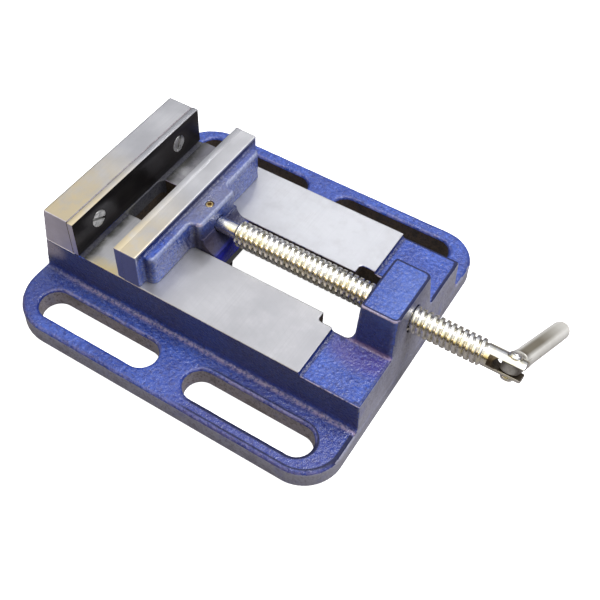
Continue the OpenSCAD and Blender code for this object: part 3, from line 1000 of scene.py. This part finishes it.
def machined(name, light, dark, rough, tints=(), swirl=False, grain=(1, 60, 1), metal=0.9, reflection_band_facing=None):
    """Ground or milled steel: fine scratches, soft clouds, and tints at places of (centre, reach, share,
    colour), which are painted shade, painted highlight and painted reflection.

    The last argument gives the way that a painted brown reflection band along the piece faces. It fades
    out towards +Y.
    """
    made, tree, where = new_material(name)
    cloud = noise(where, 26, 4, 0.55)
    colour = ramp(cloud, [(0.3, dark), (0.7, light)], True)
    scratch = noise(where, 0.55, 3, 0.7, stretch=grain, turn=(0, 0, 12))
    crossing = noise(where, 0.6, 3, 0.7, stretch=grain, turn=(0, 0, -31), shift=0.2)
    lines = combine("ADD", scratch, crossing)
    colour = mixed(grey(lines, 0.9, 1.25, 0, 0.35), colour, dark)
    if swirl:
        moved = add(tree, "Mapping", {"Vector": where, "Location": (0.02, 0.13, 0)}).outputs[0]
        rings = add(tree, "TexWave", {
            "Vector": moved, "Scale": 95.0, "Distortion": 5.0, "Detail": 3.0, "Detail Scale": 1.2,
        }, wave_type="RINGS", rings_direction="Z").outputs["Fac"]
        lines = combine("ADD", lines, grey(rings, 0, 1, 0, 0.14))
        colour = mixed(grey(rings, 0.8, 1, 0, 0.12), colour, dark)
    if reflection_band_facing:
        facing = add(tree, "TexCoord").outputs["Normal"]
        towards = add(tree, "VectorMath", {0: facing, 1: reflection_band_facing}, operation="DOT_PRODUCT")
        reflection_band = product(
            grey(towards.outputs["Value"], 0.76, 0.96), grey(axes_of(where)["Y"], 0.030, 0.062, 1, 0.25),
        )
        colour = tinted(colour, reflection_band, 0.92, (0.12, 0.10, 0.06))
    patch = grey(noise(where, 7, 4, 0.6, shift=0.41), 0.3, 0.6, 0.35, 1)
    for centre, reach, share, tint in tints:
        here = product(near(where, centre, reach), patch)
        colour = mixed(grey(here, 0, 0.6, 0, share), colour, tint)
    return finish_material(
        made, Base_Color=colour, Metallic=metal, Normal=bump(lines, 0.03, strength=0.5),
        Roughness=grey(cloud, 0.3, 0.7, rough, rough + 0.12),
    )


def plated(name, light, tint, deep, rough):
    """Zinc plating: passages of a second tint, with dark specks, and painted shade in the corners."""
    made, tree, where = new_material(name)
    colour = ramp(noise(where, 5, 3, 0.6), [(0.35, tint), (0.58, light)], True)
    speck = noise(where, 0.8, 3, 0.6, shift=0.17)
    colour = mixed(grey(speck, 0.58, 0.72, 0, 0.5), colour, deep)
    crease = add(tree, "Attribute", attribute_name="crease").outputs["Fac"]
    colour = mixed(grey(crease, 0.1, 0.9, 0, 0.85), colour, deep)
    marks = noise(where, 0.35, 3, 0.7, stretch=(1, 9, 9), shift=0.5)
    return finish_material(
        made, Base_Color=colour, Metallic=1.0, Normal=bump(marks, 0.02, strength=0.45),
        Roughness=grey(speck, 0.35, 0.7, rough, rough + 0.16),
    )


# By name, without the ending that Blender adds where a CAD material has the same name
MATERIALS = {made.name.partition(".")[0]: made for made in (
    enamel(),
    cast_wall(
        "bare_casting", (0.21, 0.185, 0.19), (0.37, 0.335, 0.37), (0.27, 0.26, 0.36), (0.07, 0.055, 0.06),
    ),
    # pale lilac enamel: painted reflection of the floor on the outer walls and the rear end
    cast_wall(
        "pale_reflection_enamel", (0.25, 0.25, 0.36), (0.38, 0.39, 0.52), (0.24, 0.26, 0.52), (0.13, 0.12, 0.20),
        0.4, 0.5,
        # painted shade at the top of the rear end, by the boss; painted reflection of the floor at its
        # foot
        [((REAR_X, -10, 52), (60, 34, 26), 0.7, (0.07, 0.075, 0.16)),
         ((REAR_X, -50, 8), (60, 60, 22), 0.35, (0.60, 0.60, 0.72))],
    ),
    # painted shade: dark grey enamel for the strip between the jaws
    cast_wall(
        "shaded_enamel", (0.030, 0.032, 0.06), (0.070, 0.070, 0.085), (0.100, 0.100, 0.095),
        (0.015, 0.015, 0.03), 0.5, 0.2,
    ),
    # unpainted casting, made dark brown as painted shade inside the casting
    cast_wall(
        "shaded_raw_casting", (0.035, 0.026, 0.020), (0.075, 0.050, 0.032), (0.045, 0.038, 0.040),
        (0.012, 0.009, 0.008), 0.6, 0.0,
    ),
    machined(
        "ground_steel", (0.58, 0.58, 0.605), (0.44, 0.44, 0.465), 0.36,
        # painted warm highlight on the near front corner of the ways
        [((-50, -50, WAYS_TOP), (13, 7, 5), 0.95, (0.66, 0.54, 0.26)),
         # painted shade on the near way
         ((52, -38, WAYS_TOP), (60, 34, 4), 0.4, (0.36, 0.36, 0.385)),
         # painted highlight on the far way
         ((30, 34, WAYS_TOP), (90, 40, 4), 0.35, (0.70, 0.72, 0.76)),
         # painted shade on the far way between the jaws
         ((-62, 52, WAYS_TOP), (30, 62, 4), 0.8, (0.12, 0.115, 0.14)),
         # painted shade on the strip in front of the fixed jaw's plate
         ((WAYS_START_X - 0.5, 0, WAYS_TOP), (5.2, 400, 400), 1.0, (0.11, 0.11, 0.105))],
        swirl=True,
    ),
    machined(
        "jaw_top_steel", (0.62, 0.62, 0.64), (0.48, 0.48, 0.50), 0.34,
        # painted warm reflection on the near end of the jaw tops
        [((-76, -56, JAW_TOP), (90, 62, 30), 0.95, (0.66, 0.56, 0.37))],
    ),
    machined("jaw_side_steel", (0.82, 0.80, 0.95), (0.64, 0.62, 0.76), 0.4, metal=0.85),
    machined("slate_steel", (0.18, 0.21, 0.50), (0.12, 0.145, 0.37), 0.42, metal=0.3),
    plated("dull_zinc", (0.72, 0.72, 0.70), (0.26, 0.26, 0.26), (0.07, 0.06, 0.05), 0.34),
    plated("shaded_zinc", (0.16, 0.13, 0.09), (0.09, 0.07, 0.05), (0.03, 0.02, 0.02), 0.4),
    machined("blackened_steel", (0.034, 0.029, 0.028), (0.012, 0.010, 0.012), 0.36, metal=0.6),
    machined("plain_steel", (0.36, 0.36, 0.37), (0.24, 0.24, 0.25), 0.42),
    plated("bright_zinc", (0.93, 0.92, 0.90), (0.90, 0.86, 0.70), (0.10, 0.07, 0.04), 0.15),
    plated("yellow_zinc", (0.50, 0.40, 0.22), (0.36, 0.26, 0.12), (0.10, 0.06, 0.03), 0.3),
    machined(
        "satin_steel", (0.96, 0.95, 0.91), (0.78, 0.77, 0.72), 0.25,
        # painted shade where the handle goes into the fork
        [((PIN_X, 2, SPINDLE_Z - 1), (11, 12, 11), 1.0, (0.05, 0.032, 0.018))],
        # painted dark reflection band along the handle
        grain=(30, 1, 30), metal=0.2, reflection_band_facing=(0.10, 0.49, 0.87),
    ),
)}


# ---------------------------------------------------------------- placing pieces


def put(ob, node, slot, materials=None, stands_in=True):
    """The piece rides on its CAD node's body, stands for the node by hiding it, and takes the given
    materials, by default the one named by slot.
    """
    for name in materials or [slot]:
        ob.data.materials.append(MATERIALS[name])
    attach(ob, frame["nodes"][node]["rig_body"])
    if stands_in:
        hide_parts(node)
    return ob


def face_middles(mesh):
    """Middle (in millimetres) and normal of every face."""
    found = []
    for name in ("center", "normal"):
        values = np.empty(len(mesh.polygons) * 3)
        mesh.polygons.foreach_get(name, values)
        found.append(values.reshape(-1, 3))
    return found[0] / MM, found[1]


def paint_faces(ob, chosen, name):
    """Gives the chosen faces one of the piece's materials."""
    indices = np.empty(len(ob.data.polygons), np.int32)
    ob.data.polygons.foreach_get("material_index", indices)
    indices[chosen] = ob.data.materials.find(MATERIALS[name].name)
    ob.data.polygons.foreach_set("material_index", indices)


def on_spindle(p, moves=True):
    """Turns spindle coordinates (axis along X, pin along Z) into the row frame."""
    c, s = math.cos(SPINDLE_ROLL), math.sin(SPINDLE_ROLL)
    turned_p = p @ np.array([[1, 0, 0], [0, c, -s], [0, s, c]]).T
    return turned_p + (np.array([0, 0, SPINDLE_Z]) if moves else 0)


def on_handle(p, moves=True):
    """Turns handle coordinates (bar along X from the pin) into the row frame."""
    c, s = math.cos(HANDLE_FOLD), math.sin(HANDLE_FOLD)
    folded = p @ np.array([[c, -s, 0], [s, c, 0], [0, 0, 1]]).T
    return on_spindle(folded + (np.array([PIN_X, 0, 0]) if moves else 0), moves)


def upright(mesh, x, z):
    """Turns a piece made along X so that it stands along Z."""
    return shifted(mesh, Matrix.Translation((x, 0, z)) @ Matrix.Rotation(-math.pi / 2, 4, "Y"))


def at_screw_hole(mesh, side, face_x, facing):
    """Moves a piece made along X to a screw hole of a jaw plate whose face looks +X or -X."""
    turn = Matrix.Rotation(0 if facing > 0 else math.pi, 4, "Z")
    return shifted(mesh, Matrix.Translation((face_x, side * PLATE_SCREW_Y, PLATE_SCREW_Z)) @ turn)


# ---------------------------------------------------------------- the pieces


def make_base():
    ob = sdf_object("base_casting_look", base_shape, BASE_LOW, BASE_HIGH, 0.8, 0.55, base_skin)
    put(ob, "base_casting", "blue_enamel", [
        "blue_enamel", "ground_steel", "jaw_side_steel", "jaw_top_steel", "bare_casting", "pale_reflection_enamel",
        "shaded_raw_casting", "shaded_enamel",
    ])
    p, n = face_middles(ob.data)
    worked = machined_base(p)
    flat = np.abs(n[:, 2]) > 0.6
    on_jaw = p[:, 0] < WAYS_START_X - 1
    slots = slot_walls(p, n)
    seam = plate_seam(p, n)
    for chosen, name in (
        (pale_reflection_walls(p, n), "pale_reflection_enamel"),
        (slots, "bare_casting"),
        (raw_walls(p, n), "shaded_raw_casting"),
        # painted shade: the walls of the slots on the +Y side take the darker casting
        (slots & (p[:, 1] > 0), "shaded_raw_casting"),
        (worked & flat, "ground_steel"),
        (worked & flat & on_jaw, "jaw_top_steel"),
        (worked & ~flat & on_jaw, "jaw_side_steel"),
        (shaded_strip(p), "shaded_enamel"),
        (seam, "shaded_raw_casting"),
        (seam & (n[:, 2] > 0.6), "bare_casting"),
        ((p[:, 2] < 0.1) & (n[:, 2] < -0.9), "ground_steel"),
    ):
        paint_faces(ob, chosen, name)


def make_moving_jaw():
    low = (BLOCK_FRONT_X, -HALF_JAW, TONGUE_FOOT)
    high = (TONGUE_BACK_X, HALF_JAW, BOSS_TOP)
    ob = sdf_object("moving_jaw_casting_look", jaw_shape, low, high, 0.6, 0.6, jaw_skin, edge_reach=1.0)
    put(ob, "moving_jaw_casting", "blue_enamel", ["blue_enamel", "jaw_top_steel", "slate_steel"])
    p, n = face_middles(ob.data)
    paint_faces(ob, (np.abs(n[:, 1]) > 0.7) & (np.abs(p[:, 1]) > HALF_JAW - 0.5), "slate_steel")
    paint_faces(ob, machined_jaw(p) & (n[:, 2] > 0.6), "jaw_top_steel")


def make_plate(node, face_x, facing, slot, end_material):
    """Jaw plate with two countersunk holes, its top and its ends being of other steels."""
    low, high = box_mm(node)
    if facing < 0:
        high[0] += 0.35  # reaches into the moving jaw, so that no gap shows
    hole = [(1, 0), (1, 4.85), (0, 4.85), (-2.3, 2.55), (-6, 2.55), (-6, 0)]
    cutters = [at_screw_hole(turned("cutter", hole, 48), side, face_x, facing) for side in (-1, 1)]
    mesh = carved(plain_box(node, low, high), cutters, 0.2 if facing > 0 else 0.12)
    ob = put(mesh_object(node + "_look", mesh), node, slot, [slot, "jaw_top_steel", end_material])
    _, n = face_middles(ob.data)
    paint_faces(ob, n[:, 2] > 0.5, "jaw_top_steel")
    paint_faces(ob, np.abs(n[:, 1]) > (0.8 if facing > 0 else 0.5), end_material)
    if facing > 0:
        paint_faces(ob, (n[:, 0] < -0.3) & (n[:, 0] > -0.95), slot)


def make_plate_screw(node, side, face_x, facing, slot_angle):
    """Countersunk screw with a slot and a real thread, its head flush with the plate."""
    head = turned(node, round_profile([
        (-4, 0, 0), (-4, 2.4, 0), (-2.35, 2.45, 0.2), (-0.15, 4.65, 0.15), (-0.02, 4.5, 0.1),
        (-0.02, 0, 0),
    ]), 64)
    slot = plain_box("slot", (-1, -0.7, -8), (1, 0.7, 8))
    slot.transform(Matrix.Rotation(math.radians(slot_angle), 4, "X"))
    head = carved(head, [slot], 0.12)
    shank = small_thread("shank", -12, -3.9, 0.8, 2.05, 2.48)
    cap = turned("cap", [(-12, 0), (-12, 2.0)], 32, False)
    mesh = at_screw_hole(combined(node, [head, shank, cap]), side, face_x, facing)
    put(mesh_object(node + "_look", mesh), node, "bright_zinc", ["dull_zinc"])


def make_keep():
    """The keep plate, and the bolt and washer at each of its holes."""
    hole = [(-5, 0), (-5, KEEP_HOLE_R), (12, KEEP_HOLE_R), (12, 0)]
    holes = [upright(turned("hole", hole, 48), x, KEEP_LOW[2]) for x in KEEP_BOLT_X]
    mesh = carved(plain_box("keep", KEEP_LOW, KEEP_HIGH), holes, 0.5)
    put(mesh_object("keep_plate_look", mesh), "keep_plate", "plain_steel")
    for end, x in zip(("front", "rear"), KEEP_BOLT_X):
        make_keep_bolt("keep_bolt_" + end, x)
        make_keep_washer("keep_washer_" + end, x)


def bolt_head_shape(x, y, z):
    """Hexagon with chamfered corners, standing on z = 0."""
    hexagon = -np.inf
    for k in range(6):
        a = math.radians(30 + 60 * k)
        hexagon = np.maximum(hexagon, x * math.cos(a) + y * math.sin(a) - BOLT_FLATS / 2)
    shape = round_and(round_and(hexagon, -z, 0.3), z - BOLT_HEAD, 0.2)
    chamfer = (length2(x, y) - BOLT_FLATS / 2 - 0.1) * 0.5 - z * 0.86
    return round_and(shape, chamfer, 0.2)


def make_keep_bolt(node, x):
    """Hexagon bolt, standing in the tongue."""
    low, high = box_mm(node)

    def place(p, moves=True):
        return p + (np.array([x, 0, low[2]]) if moves else 0)

    head = sdf_object(
        node + "_look", bolt_head_shape, (-5.8, -5.8, 0), (5.8, 5.8, BOLT_HEAD), 0.35, 0.6, place=place,
        edge_reach=0.4,
    )
    put(head, node, "blackened_steel")
    start = low[2] + BOLT_HEAD - 0.2
    shank = small_thread("shank", 0, high[2] - start, 1, 2.5, 2.98)
    cap = turned("cap", [(high[2] - start, 2.45), (high[2] - start, 0)], 32, False)
    thread = upright(combined("thread", [shank, cap]), x, start)
    put(mesh_object(node + "_thread", thread), node, "blackened_steel", stands_in=False)


def make_keep_washer(node, x):
    """Split spring washer: a rounded rectangular section swept round all but a narrow gap."""
    low, _ = box_mm(node)
    corners = [(3.2, 0.05), (5.2, 0.05), (5.2, 1.55), (3.2, 1.55)]
    section = filleted([(*corner, 0.25) for corner in corners], 2)
    steps = 72
    gap = math.asin(0.5 / 4.2)
    points = []
    for k in range(steps + 1):
        a = gap + (2 * math.pi - 2 * gap) * k / steps
        points += [(x + r * math.cos(a), r * math.sin(a), low[2] + h) for r, h in section]
    wide = len(section)
    bm = bmesh.new()
    verts = [bm.verts.new(p) for p in points]
    for k in range(steps):
        for j in range(wide):
            a, b = k * wide + j, k * wide + (j + 1) % wide
            bm.faces.new([verts[i] for i in (a, a + wide, b + wide, b)])
    bm.faces.new(verts[:wide])
    bm.faces.new(verts[-wide:][::-1])
    bmesh.ops.recalc_face_normals(bm, faces=bm.faces)
    put(mesh_object(node + "_look", mesh_from(bm, node)), node, "plain_steel")


def fork_shape(x, y, z):
    """The spindle's forked end, with seats for the pin's heads."""
    body = round_and(length2(y, z) - FORK_R, x - FORK_END_X, 1.0)
    body = round_and(body, THREAD_END_X - 0.3 - x, 0.6)
    slot = length2(np.maximum(FORK_SLOT_X + FORK_SLOT / 2 - x, 0), z) - FORK_SLOT / 2
    body = round_cut(body, slot + 0 * y, 0.25)
    body = round_cut(body, length2(x - PIN_X, y) - FORK_BORE_R, 0.15)
    seat = np.maximum(length2(x - PIN_X, y) - PIN_SEAT_R, PIN_HEAD_X - np.abs(z))
    return round_cut(body, seat, 0.2)


def make_spindle():
    """Nose with its groove, rolled thread and forked end, as three shells of one piece."""
    rise = [(0, ROOT_R), (0.07, 5.05), (0.12, 5.35), (0.19, 6.1), (0.23, 6.38), (0.29, 6.48)]
    rise.append((0.36, THREAD_R))
    profile = rise + [(0.5, THREAD_R)] + [(1 - share, radius) for share, radius in rise[::-1]]
    thread = helix("thread", THREAD_START_X, THREAD_END_X, THREAD_PITCH, profile, ROOT_R, SEGMENTS, 0.5)
    thread.transform(Matrix.Rotation(math.pi, 4, "X"))
    nose = turned("nose", round_profile([
        (NOSE_FRONT_X, 0, 0), (NOSE_FRONT_X, 4, 0.7), (GRUB_X - 1.75, 4, 0.15), (GRUB_X - 1.75, 2.6, 0.3),
        (GRUB_X + 1.75, 2.6, 0.3), (GRUB_X + 1.75, 4, 0.15), (THREAD_START_X - 0.4, 4, 0.3),
        (THREAD_START_X, 4.4, 0), (THREAD_START_X, ROOT_R, 0),
    ]), SEGMENTS, False)
    end = turned("end", [(THREAD_END_X, ROOT_R), (THREAD_END_X, 0)], SEGMENTS, False)
    ob = mesh_object("spindle_look", combined("spindle", [thread, nose, end]), place=on_spindle, sharp=40)
    x, y, z = (points_of(ob.data) / MM).T
    # painted shade in the thread's roots, through the crease attribute
    deep = np.clip((5.7 - length2(y, z - SPINDLE_Z)) / 0.7, 0, 1) * (x > THREAD_START_X)
    set_attribute(ob.data, "crease", deep * 0.35)
    put(ob, "spindle", "bright_zinc")

    fork = sdf_object(
        "spindle_fork", fork_shape, (THREAD_END_X - 0.3, -FORK_R, -FORK_R), (FORK_END_X, FORK_R, FORK_R),
        0.32, 0.7, place=on_spindle, edge_reach=0.5,
    )
    put(fork, "spindle", "bright_zinc", ["bright_zinc", "shaded_zinc"], stands_in=False)
    # painted shade inside the fork's slot
    x, y, z = face_middles(fork.data)[0].T
    across = (z - SPINDLE_Z) * math.cos(SPINDLE_ROLL) - y * math.sin(SPINDLE_ROLL)
    inside = (np.abs(across) < FORK_SLOT / 2 + 0.12) & (x > FORK_SLOT_X - FORK_SLOT / 2)
    paint_faces(fork, inside & (x < FORK_END_X - 0.3), "shaded_zinc")


def make_pin():
    """Riveted pin: two peened heads with turned rings on a plain shank."""
    half = [
        (PIN_HEAD_X, 2.5, 0), (PIN_HEAD_X, 3.35, 0.1), (5.3, 3.35, 0.1), (6.5, 2.7, 0.4), (6.6, 2.2, 0.1),
        (6.45, 1.9, 0.1), (6.45, 1.6, 0.1), (6.75, 1.3, 0.15), (6.88, 0, 0),
    ]
    profile = [(-x, r, corner) for x, r, corner in half[::-1]] + half
    mesh = upright(turned("pin", round_profile(profile), 48), PIN_X, 0)
    put(mesh_object("handle_pin_look", mesh, place=on_spindle), "handle_pin", "bright_zinc")


def handle_shape(x, y, z):
    """Round bar with a flat tongue at the pin and a round far end."""
    radius = length2(y, z)
    bar = np.where(x > HANDLE_REACH, length2(x - HANDLE_REACH, radius), radius) - HANDLE_R
    bar = round_and(bar, HANDLE_BAR_X - x, 0.9)
    tongue = np.maximum(length2(np.minimum(x, 0), y) - HANDLE_TONGUE_R, x - HANDLE_TONGUE_END_X)
    tongue = round_and(tongue, np.abs(z) - HANDLE_TONGUE_HALF, 0.4)
    return round_cut(round_or(bar, tongue, 0.6), length2(x, y) - HANDLE_BORE_R, 0.2)


def make_handle():
    ob = sdf_object(
        "handle_look", handle_shape, (-HANDLE_TONGUE_R, -HANDLE_R, -HANDLE_R),
        (HANDLE_REACH + HANDLE_R, HANDLE_R, HANDLE_R), 0.38, 0.6, place=on_handle, edge_reach=0.5,
    )
    put(ob, "handle", "satin_steel")


def make_grub():
    """Retaining screw with a hexagon socket and a plain point."""
    low, high = box_mm("spindle_retaining_screw")
    body = turned("grub", round_profile([
        (low[2], 0, 0), (low[2], 1.5, 0.3), (low[2] + 3, 1.5, 0.1), (low[2] + 3.3, 1.98, 0.1),
        (high[2], 1.98, 0.35), (high[2], 0, 0),
    ]), 48)
    socket = turned("socket", [(-1.6, 0), (-1.6, 1.15), (1, 1.15), (1, 0)], 6)
    mesh = carved(upright(body, 0, 0), [upright(socket, 0, high[2])], 0.1)
    mesh.transform(Matrix.Translation((GRUB_X, 0, 0)))
    put(mesh_object("spindle_retaining_screw_look", mesh), "spindle_retaining_screw", "yellow_zinc")


make_base()
make_moving_jaw()
make_plate("fixed_jaw_plate", PLATE_FACE_X, 1, "blackened_steel", "jaw_side_steel")
make_plate("moving_jaw_plate", FACE_X, -1, "ground_steel", "slate_steel")
make_plate_screw("fixed_jaw_screw_near", -1, PLATE_FACE_X, 1, 60)
make_plate_screw("fixed_jaw_screw_far", 1, PLATE_FACE_X, 1, -25)
make_plate_screw("moving_jaw_screw_near", -1, FACE_X, -1, 15)
make_plate_screw("moving_jaw_screw_far", 1, FACE_X, -1, 70)
make_keep()
make_spindle()
make_pin()
make_handle()
make_grub()


# ---------------------------------------------------------------- studio


def make_floor():
    """White to the camera, pale grey to the object, and clear from below."""
    bpy.ops.mesh.primitive_plane_add(size=8, location=(0, 0, -0.0002))
    floor = bpy.context.object
    floor.name = "floor"
    made, tree, where = new_material("pale_floor")
    shade = ramp(noise(where, 400, 2), [(0.3, (0.90, 0.90, 0.90)), (0.7, (0.94, 0.94, 0.94))])
    seen = add(tree, "LightPath").outputs["Is Camera Ray"]
    finish_material(
        made, Base_Color=mixed(seen, (0.22, 0.20, 0.19), shade), Roughness=0.9, Specular_IOR_Level=0.1,
        Emission_Color=(1, 1, 1), Emission_Strength=grey(seen, 0, 1, 0.07, 1.0),
    )
    open_below = add(tree, "MixShader", {
        0: add(tree, "NewGeometry").outputs["Backfacing"],
        1: tree.nodes["Principled BSDF"].outputs[0],
        2: add(tree, "BsdfTransparent").outputs[0],
    })
    set_socket(tree.nodes["Material Output"].inputs[0], open_below.outputs[0])
    floor.data.materials.append(made)


def make_world():
    """White studio, bright overhead and dark round the horizon, with a warm wall on the -Y side.

    The camera sees plain white, and matt surfaces see the -Y side dim.
    """
    world = bpy.data.worlds.new("studio")
    world.use_nodes = True
    bpy.context.scene.world = world
    tree = world.node_tree
    x, y, height = axes_of(add(tree, "TexCoord").outputs["Generated"])
    light = add(tree, "LightPath").outputs
    behind = ramp(height, [
        (0.0, (0.08, 0.08, 0.10)), (0.25, (0.10, 0.10, 0.13)), (0.42, (0.52, 0.54, 0.60)),
        (0.70, (0.62, 0.63, 0.68)), (0.82, (1.3, 1.3, 1.3)),
    ])
    warm = ramp(height, [
        (0.0, (0.05, 0.035, 0.03)), (0.28, (0.06, 0.04, 0.025)), (0.42, (0.75, 0.57, 0.18)),
        (0.62, (1.10, 0.96, 0.46)), (0.80, (1.3, 1.3, 1.2)),
    ])
    plain = ramp(height, [
        (0.0, (0.05, 0.05, 0.06)), (0.28, (0.07, 0.07, 0.08)), (0.42, (0.50, 0.51, 0.55)),
        (0.62, (0.70, 0.71, 0.76)), (0.80, (1.3, 1.3, 1.3)),
    ])
    dim = ramp(height, [(0.0, (0.03, 0.03, 0.03)), (0.70, (0.06, 0.06, 0.06)), (0.92, (1.1, 1.1, 1.1))])
    front = mixed(light["Is Diffuse Ray"], mixed(grey(x, 0.15, 0.40), warm, plain), dim)
    sky = mixed(grey(y, -0.30, 0.02, 1, 0), behind, front)
    set_socket(tree.nodes["Background"].inputs[0], mixed(light["Is Camera Ray"], sky, (1, 1, 1)))


def area_light(name, place, size, power, colour=(1, 1, 1)):
    """Rectangular light that faces the vise."""
    data = bpy.data.lights.new(name, "AREA")
    data.shape = "RECTANGLE"
    data.size, data.size_y = size
    data.energy = power
    data.color = colour
    ob = linked(name, data)
    ob.location = place
    ob.rotation_euler = (-Vector(place)).to_track_quat("-Z", "Y").to_euler()


def make_camera():
    """The photo's camera, solved from straight edges of the object."""
    data = bpy.data.cameras.new("camera")
    data.sensor_width = 36
    data.lens = 55.224
    ob = linked("camera", data)
    ob.location = (0.17165, -0.24779, 0.37111)
    ob.rotation_euler = Euler([math.radians(a) for a in (38.417, -1.665, 31.902)], "XYZ")
    bpy.context.scene.camera = ob


make_floor()
make_world()
make_camera()
area_light("key", (0.50, 0.25, 1.05), (0.6, 0.6), 7.5)
area_light("spark", (-0.38, 0.86, 0.93), (0.10, 0.10), 0.6)
area_light("strip", (-0.35, -0.95, 0.75), (0.30, 0.10), 0.9, (1.0, 0.84, 0.92))
bpy.context.scene.view_settings.view_transform = "Standard"
